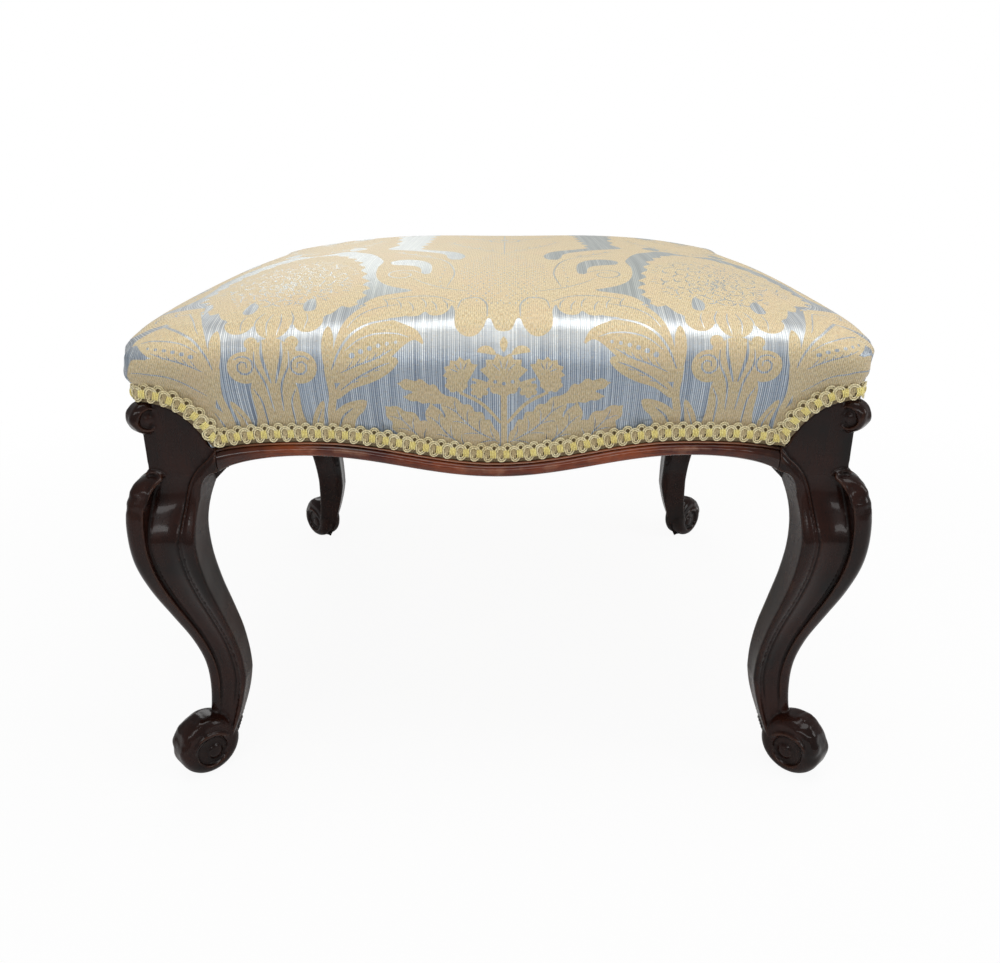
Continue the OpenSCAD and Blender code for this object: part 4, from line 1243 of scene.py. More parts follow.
def satinGround():
    m, tree, shader, uv, weft, thread, up, side = clothBase(
        "damaskGround", Metallic=0.45, Sheen_Weight=0.15, Sheen_Roughness=0.4, IOR=1.5)
    warp = drawnOut(tree, uv, 1.0, 0.0045)
    low, high, crown = clothShade["side"] + 0.012, clothShade["roll"], clothShade["top"]
    # painted highlight: a mask for a pale band along the roll, faint on the top
    rollHighlight = ramp(tree, up, [(low, 0.0), (high, 1.0), (crown + 0.004, 0.12)], "EASE")
    top = ramp(tree, up, [(high + 0.006, 0.0), (crown + 0.003, 1.0)], "EASE")
    broad = specks(tree, warp, 0.16, 1.0)
    fine = specks(tree, warp, 0.85, 2.0, 0.8)
    stripe = plus(tree, times(tree, broad, 0.14), times(tree, fine, 0.62))
    stripe = plus(tree, times(tree, thread, 0.075), plus(tree, stripe, 0.145))
    silver = [(0.42, (0.17, 0.21, 0.27)), (0.50, (0.31, 0.36, 0.42)), (0.57, (0.53, 0.58, 0.61)),
              (0.66, (0.88, 0.90, 0.87))]
    body = ramp(tree, stripe, silver)
    cross = specks(tree, weft, 1.9, 2.0)
    body = blend(tree, "MIX", ramp(tree, cross, [(0.52, 0.0), (0.72, 0.30)]), body, (0.10, 0.14, 0.20))
    gold = specks(tree, drawnOut(tree, uv, 1.0, 0.3), 1.5, 1.0)
    body = blend(tree, "MIX", ramp(tree, gold, [(0.60, 0.0), (0.68, 0.45)]), body, (0.52, 0.42, 0.27))
    # painted shade darkens and blues the sides, then a painted highlight pales the roll towards silver-white
    body = blend(tree, "MULTIPLY", times(tree, side, 0.55), body, (0.62, 0.70, 0.84))
    body = blend(tree, "MIX", times(tree, rollHighlight, 0.38), body, (0.93, 0.93, 0.88))
    body = blend(tree, "MIX", times(tree, top, 0.55), body, (0.60, 0.63, 0.56))
    tree.links.new(plus(tree, times(tree, fine, 0.25), 0.27), shader.inputs["Roughness"])
    paint(tree, shader, body, plus(tree, fine, times(tree, cross, 0.5)), 0.4, 0.0005)
    return m


def goldFigure():
    m, tree, shader, uv, weft, thread, _, side = clothBase(
        "damaskFigure", Roughness=0.55, Sheen_Weight=0.2, Sheen_Roughness=0.5)
    upright = drawnOut(tree, uv, 1.0, 0.22)
    weave = specks(tree, upright, 1.7, 2.0, 0.7)
    tone = plus(tree, weave, times(tree, thread, 0.075))
    body = ramp(tree, tone, [(0.34, (0.50, 0.38, 0.19)), (0.47, (0.68, 0.54, 0.30)), (0.62, (0.86, 0.73, 0.45))])
    fleck = specks(tree, upright, 2.3, 1.0)
    body = blend(tree, "MIX", ramp(tree, fleck, [(0.56, 0.0), (0.64, 0.42)]), body, (0.38, 0.40, 0.42))
    body = blend(tree, "MIX", ramp(tree, fleck, [(0.34, 0.40), (0.42, 0.0)]), body, (0.72, 0.43, 0.25))
    pink = specks(tree, uv, 0.035, 2.0)
    body = blend(tree, "MIX", ramp(tree, pink, [(0.45, 0.0), (0.70, 0.22)]), body, (0.76, 0.53, 0.33))
    # painted shade: the figure's sides are darkened towards grey
    body = blend(tree, "MULTIPLY", times(tree, side, 0.55), body, (0.58, 0.60, 0.64))
    cross = specks(tree, weft, 2.4, 2.0)
    paint(tree, shader, body, plus(tree, weave, times(tree, cross, 0.6)), 0.5, 0.0006)
    return m


# Points of the flat cloth laid over the swelled form, with corner pleats and small puckers at the gimp
def layCloth(flat, held, swelled):
    q, side, u = clothPlace(flat)
    side = np.where(q < 1, side, held)
    p = ringPoint(q, side, u) + gridValue(*swelled, q, side, u)
    ahead = ringPoint(q, side, np.minimum(u + 0.004, 1)) - ringPoint(q, side, np.maximum(u - 0.004, -1))
    down = ringPoint(np.minimum(q + 0.004, 4), side, u) - ringPoint(np.maximum(q - 0.004, 0), side, u)
    out = -np.cross(ahead, down)
    out /= np.linalg.norm(out, axis=1)[:, None] + 1e-9
    out = mix(np.array([0, 0, 1.0]), out, ease((q - 0.85) / 0.12)[:, None])
    h, _, r = ringShape(q, np.abs(u) * edgeHalf)
    arc = halfLength(h, r)
    toCorner, l = (1 - np.abs(u)) * arc, u * arc
    over = ease((q - 1.8) / 0.8)
    s = seatSizes
    move = over * (s["ridge"] * np.exp(-((toCorner - 3.4) / 2.6) ** 2) - s["pleat"] * np.exp(-(toCorner / 1.1) ** 2))
    move += s["fold"] * over * np.exp(-((toCorner - 13) / 7.0) ** 2) * np.sin(toCorner * 0.45)
    low = ease((q - 2.35) / 0.65) * np.clip(4 - q, 0, 1)
    waves = np.sin(l * 0.33 + side * 2.1) + 0.6 * np.sin(l * 0.21 + 1.3 * side) + 0.5 * np.sin(l * 0.57 + side)
    move += s["pucker"] * low * waves
    slow = np.sin(flat[:, 0] * 0.031 + 1) * np.sin(flat[:, 1] * 0.027 + 2)
    move += s["uneven"] * slow * (1 - ease((q - 0.9) / 0.9))
    return p + out * move[:, None]


# Triangles between two edges of cloth that meet at a corner pleat
def zipUp(a, b, top):
    faces, i, j = [], 0, 0
    while i < len(a) - 1 or j < len(b) - 1:
        if j == len(b) - 1 or (i < len(a) - 1 and top[a[i + 1]][2] >= top[b[j + 1]][2]):
            faces.append((b[j], a[i], a[i + 1]))
            i += 1
        else:
            faces.append((b[j], a[i], b[j + 1]))
            j += 1
    return [f for f in faces if len(set(f)) == 3]


def cutCloth():
    outline = clothOutline()
    c = clothSizes
    step = c["step"]
    shapes = drawDamask(c["reach"])
    verts, loops = [tuple(p) for p in outline], [list(range(len(outline)))]
    for kind, p in shapes:
        loops.append(list(range(len(verts), len(verts) + len(p))))
        verts += [tuple(v) for v in p]
    place = np.arange(-c["half"], c["half"] + 1, step)
    gx, gy = np.meshgrid(place, place)
    inner = (np.abs(gx) < edgeHalf - 2) | (np.abs(gy) < edgeHalf - 2)
    verts += list(zip((gx[inner] + 0.0137 * gy[inner]).tolist(), (gy[inner] - 0.0091 * gx[inner]).tolist()))
    for off in (1.5, 5.5, 10.5):
        for a in np.arange(-edgeHalf + 3, edgeHalf - 3, step):
            for b in (-edgeHalf - off, edgeHalf + off):
                verts += [(a, b), (b, a)]
    cut = delaunay_2d_cdt([Vector(v) for v in verts], [], loops, 1, 1e-5, True)
    flat = np.array([tuple(v) for v in cut[0]])
    kept = [(f, shapes[max(o) - 1][0] if max(o) else 0) for f, o in zip(cut[2], cut[5]) if 0 in o]
    used = sorted({i for f, _ in kept for i in f})
    new = {old: i for i, old in enumerate(used)}
    return flat[used], [tuple(new[i] for i in f) for f, _ in kept], [k for _, k in kept]


def rimWalk(faces):
    edges = {(f[i], f[(i + 1) % 3]) for f in faces for i in range(3)}
    onward = {a: b for a, b in edges if (b, a) not in edges}
    start = next(iter(onward))
    walk = [start]
    while onward[walk[-1]] != start:
        walk.append(onward[walk[-1]])
    print("cloth edge walked:", len(walk), "of", len(onward))
    return walk


def buildSeat():
    s = seatSizes
    q0, n, grid = swell()
    flat, faces, kinds = cutCloth()
    _, side, u = clothPlace(flat)
    swelled = (q0, n, grid)
    top = layCloth(flat, side, swelled)
    small = 0.3 * np.stack([-np.sign(flat[:, 0]), -np.sign(flat[:, 1])], 1)
    small[small == 0] = 0.3
    dx = (layCloth(flat + small * [1, 0], side, swelled) - top) * np.sign(small[:, :1])
    dy = (layCloth(flat + small * [0, 1], side, swelled) - top) * np.sign(small[:, 1:])
    normal = np.cross(dx, dy)
    normal /= np.linalg.norm(normal, axis=1)[:, None] + 1e-12
    corners = np.array(faces)
    flatFace = np.cross(top[corners[:, 1]] - top[corners[:, 0]], top[corners[:, 2]] - top[corners[:, 0]])
    around = np.zeros_like(top)
    for k in range(3):
        np.add.at(around, corners[:, k], flatFace)
    around /= np.linalg.norm(around, axis=1)[:, None] + 1e-12
    normal = np.where((around * normal).sum(1)[:, None] > 0.97, normal, around)

    # pleat edges are sewn together, then the hem is turned in and the form closed over the pad
    walk = rimWalk(faces)
    corners = edgeHalf * np.array([(-1, -1), (1, -1), (1, 1), (-1, 1)])
    tops = [int(np.argmin(np.abs(flat[walk] - c).sum(1))) for c in corners]
    hemAt = np.abs(clothPlace(flat[walk])[0] - 4) < 0.03
    hem, spans = [], []
    for k in range(4):
        i, j = tops[k], tops[(k + 1) % 4]
        span = [walk[m % len(walk)] for m in range(i, j + 1 if j > i else j + len(walk) + 1)]
        low = [m for m, v in enumerate(span) if hemAt[(i + m) % len(walk)]]
        spans.append((span, low[0], low[-1]))
        hem += span[low[0]:low[-1] + 1]
    for k in range(4):
        (left, _, b), (right, c, _) = spans[k], spans[(k + 1) % 4]
        sewn = zipUp(left[b:][::-1], right[:c + 1], top)
        faces += sewn
        kinds += [1] * len(sewn)
    inside, m = face + 0.35, len(hem)
    base = len(top)
    along = u[hem] * inside
    a = side[hem] * np.pi / 2
    ring = np.stack([along * np.cos(a) + inside * np.sin(a), along * np.sin(a) - inside * np.cos(a), top[hem][:, 2]], 1)
    lid = ring * [1, 1, 0] + [0, 0, s["padZ"] + 0.2]
    verts = np.vstack([top, ring, lid, [[0, 0, s["padZ"] + 0.2]]])
    chain = [hem, list(range(base, base + m)), list(range(base + m, base + 2 * m))]
    under = []
    for one, two in zip(chain, chain[1:]):
        for k in range(m):
            j = (k + 1) % m
            under.append((one[j], one[k], two[k], two[j]))
    under += [(chain[2][(k + 1) % m], chain[2][k], base + 2 * m) for k in range(m)]
    seat = makeMesh("seatCover", verts, [tuple(f) for f in faces + under])
    wadding = rawWood("wadding", (0.62, 0.58, 0.50), (0.45, 0.41, 0.34), (1, 1, 1), 80.0)
    for look in (goldFigure(), satinGround(), wadding):
        seat.data.materials.append(look)
    seat.data.polygons.foreach_set("material_index", [0 if k else 1 for k in kinds] + [2] * len(under))
    layUv(seat, np.vstack([flat, ring[:, :2], lid[:, :2], [[0, 0]]]))
    normals = np.vstack([normal, np.zeros((len(verts) - base, 3))])
    seat.data.normals_split_custom_set_from_vertices(normals.tolist())
    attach(seat, "root")
    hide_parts("top_cover", "stuffing", "side_wadding")
    print("seat laid:", len(seat.data.polygons), "faces,", sum(kinds), "of figure")


buildSeat()


# Gimp: a braid of looped cords over bright yellow bars, bent along the seat's lower line with Geometry Nodes
gimpSizes = {"pitch": 8.6, "strand": 0.5, "apart": 1.2, "mid": 6.0, "back": face + 2.7, "corner": 6.0,
             "ring": [(-0.4, -2.6, 1.5), (-0.9, 0, 1.7), (-0.3, 2.8, 1.9), (2.2, 4.3, 2.0), (4.7, 2.9, 1.9),
                      (5.3, 0, 1.7), (4.7, -3.0, 1.6), (2.8, -4.6, 1.6), (1.0, -3.8, 1.1), (1.2, -1.2, 0.6),
                      (3.2, 0.3, 0.4), (5.6, 0.2, 0.4), (7.2, -1.4, 0.5), (7.9, -2.9, 1.0)],
             "arch": [(3.6, -0.5, 0.3), (4.0, 2.8, 0.5), (5.2, 5.4, 0.8), (7.3, 5.8, 0.8), (8.8, 4.2, 0.6),
                      (9.4, 1.0, 0.3)],
             "bars": (4.2, 5.2, 6.2, 7.1), "fill": (0.9, 1.9, 2.9)}


def threadLook(name, pale, dark, rough=0.5):
    m, tree, shader = finish(name, Roughness=rough, Sheen_Weight=0.3, Sheen_Roughness=0.4)
    place = objectPlace(tree)
    fine = specks(tree, place, 1400.0, 2.0)
    broad = specks(tree, place, 70.0, 3.0)
    body = blend(tree, "MIX", ramp(tree, fine, [(0.36, 0.0), (0.60, 1.0)]), dark, pale)
    body = blend(tree, "MULTIPLY", ramp(tree, broad, [(0.40, 0.0), (0.75, 0.5)]), body, (0.86, 0.78, 0.60))
    paint(tree, shader, body, fine, 0.35, 0.0002)
    return m


# Open tube along one pitch of a looped cord, given as (along, up, out); its end ring falls on the next one's first
def loopTube(points, off, parts):
    p, sides, n = gimpSizes["pitch"], 5, 30
    three = [(x + k * p, z, y) for k in (-1, 0, 1) for x, z, y in points]
    path = smoothPath(three, 12 * n)
    x0, y0 = points[0][:2]
    i, j = (int(np.argmin(np.hypot(path[:, 0] - x, path[:, 1] - y0))) for x in (x0, x0 + p))
    run = np.linspace(i, j, n + 1)
    at = np.stack([np.interp(run, np.arange(len(path)), path[:, k]) for k in range(3)], 1)
    at[-1] = at[0] + [p, 0, 0]
    d = np.gradient(np.vstack([at[-2] - [p, 0, 0], at, at[1] + [p, 0, 0]]), axis=0)[1:-1, :2]
    d /= np.linalg.norm(d, axis=1)[:, None]
    verts = []
    for k in range(sides):
        b = 2 * math.pi * k / sides
        c, s = off + gimpSizes["strand"] * math.cos(b), gimpSizes["strand"] * math.sin(b)
        verts.append(np.stack([at[:, 0] - d[:, 1] * c, -at[:, 2] + s, at[:, 1] + d[:, 0] * c], 1))
    verts = np.stack(verts, 1).reshape(-1, 3)
    faces = []
    for i in range(0, sides * n, sides):
        for k in range(sides):
            m = (k + 1) % sides
            faces.append((i + k, i + sides + k, i + sides + m, i + m))
    parts.add((verts, faces))


def gimpUnits():
    g = gimpSizes
    cords, bars, fill, core = Shells(), Shells(), Shells(), Shells()
    for off in (-0.5, 0.5):
        loopTube(g["ring"], off * g["apart"], cords)
        loopTube(g["arch"], off * g["apart"], cords)
    bow = np.sin(np.linspace(0, np.pi, 7))
    for x in g["bars"]:
        path = np.stack([np.full(7, x) + 0.2 * bow, -1.9 - 0.7 * bow, np.linspace(-3.0, 2.8, 7)], 1)
        bars.add(bar(path, 0.47, 6, 0.5))
    for x in g["fill"]:
        fill.add(bar(np.stack([np.full(7, x), -0.6 - 0.3 * bow, np.linspace(-3.4, 3.2, 7)], 1), 0.5, 5, 0.3))
    p = g["pitch"]
    # core: a band behind the braid, coloured dark brown as painted shade in the gaps between the loops
    ring = [(-0.1, -5.7), (-0.4, -5.6), (-0.4, 4.4), (-0.1, 4.6)]
    strip = [(k, 4 + k, 4 + (k + 1) % 4, (k + 1) % 4) for k in range(4)]
    core.add((np.array([(x, y, z) for x in (0, p) for y, z in ring]), strip))
    units = {"loopUnit": cords, "barUnit": bars, "fillUnit": fill, "coreUnit": core}
    return [makeMesh(name, np.vstack(u.verts), u.faces) for name, u in units.items()]


def buildGimpRun():
    tree = bpy.data.node_groups.new("gimpRun", "GeometryNodeTree")
    sockets = {"Unit": "Object", "Seat Line": "Object", "Count": "Int", "Pitch": "Float", "Start": "Float",
               "Total": "Float", "Finish": "Material"}
    for label, kind in sockets.items():
        tree.interface.new_socket(label, in_out="INPUT", socket_type="NodeSocket" + kind)
    tree.interface.new_socket("Geometry", in_out="OUTPUT", socket_type="NodeSocketGeometry")
    gin, gout = tree.nodes.new("NodeGroupInput").outputs, tree.nodes.new("NodeGroupOutput").inputs
    start = node(tree, "ShaderNodeCombineXYZ", {"X": gin["Start"]}).outputs[0]
    step = node(tree, "ShaderNodeCombineXYZ", {"X": gin["Pitch"]}).outputs[0]
    line = node(tree, "GeometryNodeMeshLine", {"Count": gin["Count"], "Start Location": start, "Offset": step})
    unit = node(tree, "GeometryNodeObjectInfo", {"Object": gin["Unit"]}).outputs["Geometry"]
    placed = node(tree, "GeometryNodeInstanceOnPoints", {"Points": line.outputs[0], "Instance": unit})
    real = node(tree, "GeometryNodeRealizeInstances", {"Geometry": placed.outputs[0]})
    joined = node(tree, "GeometryNodeMergeByDistance", {"Geometry": real.outputs[0], "Distance": 0.00002})
    at = node(tree, "ShaderNodeSeparateXYZ", {0: node(tree, "GeometryNodeInputPosition").outputs[0]}).outputs
    run = maths(tree, "FLOORED_MODULO", at["X"], gin["Total"])
    path = node(tree, "GeometryNodeObjectInfo", {"Object": gin["Seat Line"]}).outputs["Geometry"]
    seen = node(tree, "GeometryNodeSampleCurve", {"Curves": path, "Length": run}, mode="LENGTH").outputs
    away = vectors(tree, "NORMALIZE", vectors(tree, "CROSS_PRODUCT", seen["Tangent"], (0, 0, 1)))
    above = vectors(tree, "CROSS_PRODUCT", away, seen["Tangent"])
    outward = times(tree, at["Y"], -1.0)
    move = node(tree, "ShaderNodeVectorMath", {0: away, "Scale": outward}, operation="SCALE").outputs[0]
    raised = node(tree, "ShaderNodeVectorMath", {0: above, "Scale": at["Z"]}, operation="SCALE").outputs[0]
    place = vectors(tree, "ADD", seen["Position"], vectors(tree, "ADD", move, raised))
    bent = node(tree, "GeometryNodeSetPosition", {"Geometry": joined.outputs[0], "Position": place})
    done = node(tree, "GeometryNodeSetMaterial", {"Geometry": bent.outputs[0], "Material": gin["Finish"]})
    tree.links.new(done.outputs[0], gout["Geometry"])
    return tree


def runGroup(tree, values):
    obj = makeMesh("run", [(0, 0, 0)], [])
    modifier = obj.modifiers.new("run", "NODES")
    modifier.node_group = tree
    for item in tree.interface.items_tree:
        if item.in_out == "INPUT" and item.name in values:
            modifier[item.identifier] = values[item.name]
    return applyModifiers(obj)


def gimpLine():
    g = gimpSizes
    h, r = g["back"] + seatSizes["cornerOut"], g["corner"]
    x = np.linspace(-(h - r), h - r, 150)
    first = [(-(h - r + r * math.sin(a)), -h + r - r * math.cos(a)) for a in np.radians(np.linspace(45, 0, 7)[:-1])]
    last = [(h - r + r * math.sin(a), -h + r - r * math.cos(a)) for a in np.radians(np.linspace(0, 45, 7)[1:-1])]
    flat = np.array(first + [(v, -g["back"] - cornerOut(v)) for v in x] + last)
    side = np.stack([flat[:, 0], flat[:, 1], lowLine(flat[:, 0], g["mid"])], 1)
    whole = np.vstack([turned(side, k) for k in range(4)])
    curve = bpy.data.curves.new("seatLine", "CURVE")
    curve.dimensions = "3D"
    spline = curve.splines.new("POLY")
    spline.points.add(len(whole) - 1)
    spline.points.foreach_set("co", np.hstack([whole * mm, np.ones((len(whole), 1))]).ravel())
    spline.use_cyclic_u = True
    total = np.linalg.norm(whole - np.roll(whole, -1, 0), axis=1).sum()
    return newObject("seatLine", curve), float(total)


def closeHoles(mesh):
    bm = bmesh.new()
    bm.from_mesh(mesh)
    bmesh.ops.holes_fill(bm, edges=[e for e in bm.edges if e.is_boundary], sides=8)
    bmesh.ops.recalc_face_normals(bm, faces=bm.faces)
    bm.to_mesh(mesh)
    bm.free()


def makeGimp():
    line, total = gimpLine()
    units = gimpUnits()
    finishes = [threadLook("gimpCord", (0.96, 0.88, 0.60), (0.66, 0.56, 0.30)),
                threadLook("gimpYellow", (0.98, 0.88, 0.36), (0.80, 0.66, 0.20)),
                # painted shade: the fill cords inside the rings take the cords' tan, dimmed
                threadLook("gimpFill", (0.72, 0.61, 0.38), (0.46, 0.37, 0.20)),
                # painted shade: the core band's dark brown stands in for the shadow behind the braid
                threadLook("gimpCore", (0.25, 0.19, 0.10), (0.10, 0.075, 0.04), 0.7)]
    tree = buildGimpRun()
    count = 4 * round(total / gimpSizes["pitch"] / 4)
    pitch = total / count
    for unit in units:
        unit.data.transform(Matrix.Diagonal((pitch / gimpSizes["pitch"], 1, 1, 1)))
    made = []
    for name, k in quarterTurns.items():
        shared = {"Seat Line": line, "Count": count // 4, "Pitch": pitch * mm, "Start": k * count // 4 * pitch * mm,
                  "Total": total * mm}
        runs = [runGroup(tree, {**shared, "Unit": unit, "Finish": look}) for unit, look in zip(units, finishes)]
        bm = bmesh.new()
        for i, run in enumerate(runs):
            first = len(bm.faces)
            bm.from_mesh(run.data)
            bm.faces.ensure_lookup_table()
            for f in bm.faces[first:]:
                f.material_index = i
                f.smooth = i < 3
        mesh = bpy.data.meshes.new("gimp_" + name + "_braid")
        bm.to_mesh(mesh)
        bm.free()
        closeHoles(mesh)
        for look in finishes:
            mesh.materials.append(look)
        braid = newObject(mesh.name, mesh)
        for run in runs:
            bpy.data.objects.remove(run)
        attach(braid, "root")
        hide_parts("gimp")
        made.append(braid)
    for obj in units + [line]:
        bpy.data.objects.remove(obj)
    print("gimp made:", count, "loops,", [len(b.data.polygons) for b in made], "faces")


makeGimp()


# Apron mouldings: a quirked fillet over a rounded nose, following the wave and the arch at each leg
mouldSizes = {"high": 9.5, "deep": 19.0, "archX": 60.0, "archZ": (apronWave + 0.3 - 9.5 - apronEnd + apronZ) / 0.641,
              "slices": 170}
# Depth, share of the height, wear, and grime with painted shade at each point of the section,
# from the top round the nose
mouldSection = [(mouldSizes["deep"], 1, 0, 0), (4.8, 1, 0.3, 0), (3.3, 0.99, 0.8, 0), (2.45, 0.965, 1, 0),
                (2.1, 0.925, 0.9, 0), (2.4, 0.885, 0.3, 0.5), (3.0, 0.865, 0, 1), (2.3, 0.835, 0, 0.4),
                (1.3, 0.765, 0.2, 0), (0.62, 0.68, 0.4, 0), (0.2, 0.59, 0.5, 0), (0, 0.49, 0.45, 0),
                (0.08, 0.39, 0.35, 0), (0.4, 0.285, 0.3, 0), (1.0, 0.18, 0.35, 0), (1.95, 0.085, 0.4, 0),
                (3.2, 0.02, 0.3, 0), (4.8, 0, 0, 0), (mouldSizes["deep"], 0, 0, 0)]


def apronLow(x):
    m = mouldSizes
    a, w = np.abs(x), postIn + 4 - m["archX"]
    wave = (apronWave + 0.3) * ease(a / w)
    arch = apronWave + 0.3 - m["archZ"] * (1 - np.sqrt(1 - np.clip((a - w) / m["archX"], 0, 1) ** 2))
    return apronZ - m["high"] + np.where(a < w, wave, arch)


def makeMouldings():
    x = np.linspace(-(postIn - 0.1), postIn - 0.1, mouldSizes["slices"])
    low, high = apronLow(x), apronTop(x) - 0.1
    loops = []
    for v, b, t in zip(x, low, high):
        uneven = 0.12 * math.sin(v * 0.11) + 0.08 * math.sin(v * 0.37 + 1)
        loops.append([(v, -nose + d + (uneven if 0.1 < f < 0.9 and d < 3 else 0), b + f * (t - b))
                      for d, f, _, _ in mouldSection])
    for name, k in quarterTurns.items():
        verts, faces = loft(loops)
        wood = apronWoodY if k % 2 else apronWoodX
        piece = makeMesh("apron_moulding_" + name + "_swept", turned(verts, k), faces, wood)
        for mark, at in (("wear", 2), ("grime", 3)):
            value = np.zeros(len(piece.data.vertices), np.float32)
            value[:len(mouldSection) * len(loops)] = np.tile([p[at] for p in mouldSection], len(loops))
            piece.data.attributes.new(mark, "FLOAT", "POINT").data.foreach_set("value", value)
        piece.data.set_sharp_from_angle(angle=math.radians(50))
        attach(piece, "root")
        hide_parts("apron_moulding_" + name)
    print("mouldings swept")


makeMouldings()


# Underside: interlaced jute webbing, hessian over it, and the frame's own timbers, screws and tacks
webSizes = {"count": 4, "wide": 50.0, "thick": 1.8, "railT": 24.0, "fold": 20.0, "z": railTop + 0.1, "weave": 1.05}


def wovenLook(name, pale, dark, across, along, stripe=None):
    m, tree, shader = finish(name, Roughness=0.85)
    uv = stored(tree, "cloth", "Vector")
    split = node(tree, "ShaderNodeSeparateXYZ", {0: uv}).outputs
    weft = maths(tree, "SINE", times(tree, split["Y"], along))
    warp = maths(tree, "SINE", times(tree, split["X"], across))
    weave = plus(tree, times(tree, times(tree, weft, warp), 0.5), 0.5)
    fibre = specks(tree, uv, 0.9, 4.0, 0.7)
    tone = plus(tree, times(tree, weave, 0.55), times(tree, fibre, 0.5))
    body = ramp(tree, tone, [(0.22, dark), (0.75, pale)])
    if stripe:
        edge = maths(tree, "ABSOLUTE", split["X"])
        band = ramp(tree, maths(tree, "DIVIDE", edge, 25.0), [(0.66, 0.0), (0.68, 1.0), (0.80, 1.0), (0.82, 0.0)])
        body = blend(tree, "MIX", times(tree, band, 0.75), body, stripe)
    paint(tree, shader, body, tone, 0.7, 0.0005)
    return m


def strapRun(k, sense, at, rng):
    w = webSizes
    t, end = w["thick"], face - 4
    inner = end - w["fold"]
    points = [(-inner, 1.5 * t), (-end + 3, 1.5 * t), (-end + 0.9, 1.5 * t - 0.05), (-end, t),
              (-end + 0.9, 0.5 * t + 0.05), (-end + 3, 0.5 * t), (-inner, 0.5 * t)]
    for j in range(w["count"]):
        level = (1 if (j + k) % 2 == 0 else -1) * sense * w["weave"] + 0.5 * t
        points += [(at[j] - w["wide"] / 2 - 2, level), (at[j], level), (at[j] + w["wide"] / 2 + 2, level)]
    points += [(-a, b) for a, b in points[6::-1]]
    path = smoothPath(points, 190)
    d = np.gradient(path, axis=0)
    d /= np.linalg.norm(d, axis=1)[:, None]
    n = np.stack([-d[:, 1], d[:, 0]], 1)
    run = np.concatenate([[0], np.cumsum(np.linalg.norm(np.diff(path, axis=0), axis=1))])
    across = np.linspace(-w["wide"] / 2, w["wide"] / 2, 11)
    verts, place = [], []
    for i, p in enumerate(path):
        pull = 0.4 * math.sin(run[i] * 0.021 + k) + rng.uniform(-0.06, 0.06)
        for sign in (1, -1):
            for c in across if sign == 1 else across[::-1]:
                h = t / 2 * (1 if abs(c) < w["wide"] / 2 - 0.1 else 0.6) - 0.03
                verts.append((p[0] + n[i, 0] * h * sign, at[k] + c + pull * (abs(c) / 25), p[1] + n[i, 1] * h * sign))
                place.append((c, run[i]))
    m, count = 2 * len(across), len(path)
    faces = []
    for i in range(0, m * (count - 1), m):
        for q in range(m):
            j = (q + 1) % m
            faces.append((i + q, i + j, i + m + j, i + m + q))
    faces += [tuple(range(m))[::-1], tuple(range((count - 1) * m, count * m))]
    return np.array(verts), faces, place, run[-1]


def makeWebbing():
    w = webSizes
    rng = random.Random(3)
    look = wovenLook("juteWebbing", (0.50, 0.38, 0.23), (0.20, 0.135, 0.07), 3.1, 2.2, (0.12, 0.06, 0.04))
    inside = face - w["railT"]
    gap = (2 * inside - w["count"] * w["wide"]) / (w["count"] + 1)
    at = [-inside + gap + w["wide"] / 2 + k * (gap + w["wide"]) for k in range(w["count"])]
    straps = []
    for direction, sense, swap in (("lengthwise", 1, False), ("crosswise", -1, True)):
        for k in range(w["count"]):
            verts, faces, place, long = strapRun(k, sense, at, rng)
            if swap:
                verts = verts[:, [1, 0, 2]]
                faces = [f[::-1] for f in faces]
            strap = makeMesh("webbing_%s_%d" % (direction, k + 1), verts + [0, 0, w["z"]], faces, look)
            layUv(strap, place)
            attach(strap, "root")
            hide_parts("webbing_" + direction)
            straps.append(strap)
    print("webbing laced: each strap", round(float(long)), "mm long")
    return straps


def makeHessian(straps):
    lo, hi = nodeBox("hessian")
    n, h = 60, hi[0]
    grid = np.linspace(-h, h, n)
    gx, gy = np.meshgrid(grid, grid)
    cut = 5.0 / diag * np.clip((np.abs(gx) + np.abs(gy) - 2 * h + 5) / 5, 0, 1)
    x, y = gx - np.sign(gx) * cut * 0.5, gy - np.sign(gy) * cut * 0.5
    bow = 0.12 * np.sin(gx * 0.09) * np.sin(gy * 0.08)
    levels = hi[2] - 0.12, lo[2] + 0.12
    sheets = [np.stack([x.ravel(), y.ravel(), np.full(n * n, z) + bow.ravel()], 1) for z in levels]
    faces = []
    for i in range(n - 1):
        for j in range(n - 1):
            a = i * n + j
            faces.append((a, a + 1, a + n + 1, a + n))
            faces.append((n * n + a, n * n + a + n, n * n + a + n + 1, n * n + a + 1))
    far = n * (n - 1)
    rim = [*range(n), *range(2 * n - 1, n * n, n), *range(n * n - 2, far - 1, -1), *range(far - n, 0, -n)]
    for a, b in zip(rim, rim[1:] + rim[:1]):
        faces.append((b, a, n * n + a, n * n + b))
    look = wovenLook("hessianCloth", (0.52, 0.40, 0.24), (0.16, 0.11, 0.06), 3.4, 3.4)
    cloth = makeMesh("hessian_cloth", np.vstack(sheets), faces, look)
    layUv(cloth, np.vstack([np.stack([gx.ravel(), gy.ravel()], 1)] * 2))
    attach(cloth, "root")
    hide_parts("hessian")


makeHessian(makeWebbing())


def metalLook(name, colour, rough, metallic=1.0):
    m, tree, shader = finish(name, Metallic=metallic)
    place = objectPlace(tree)
    spots = specks(tree, place, 320.0, 4.0)
    body = blend(tree, "MIX", ramp(tree, spots, [(0.50, 0.0), (0.72, 0.7)]), colour, (0.10, 0.045, 0.02))
    tree.links.new(body, shader.inputs["Base Color"])
    tree.links.new(plus(tree, times(tree, spots, 0.3), rough), shader.inputs["Roughness"])
    return m


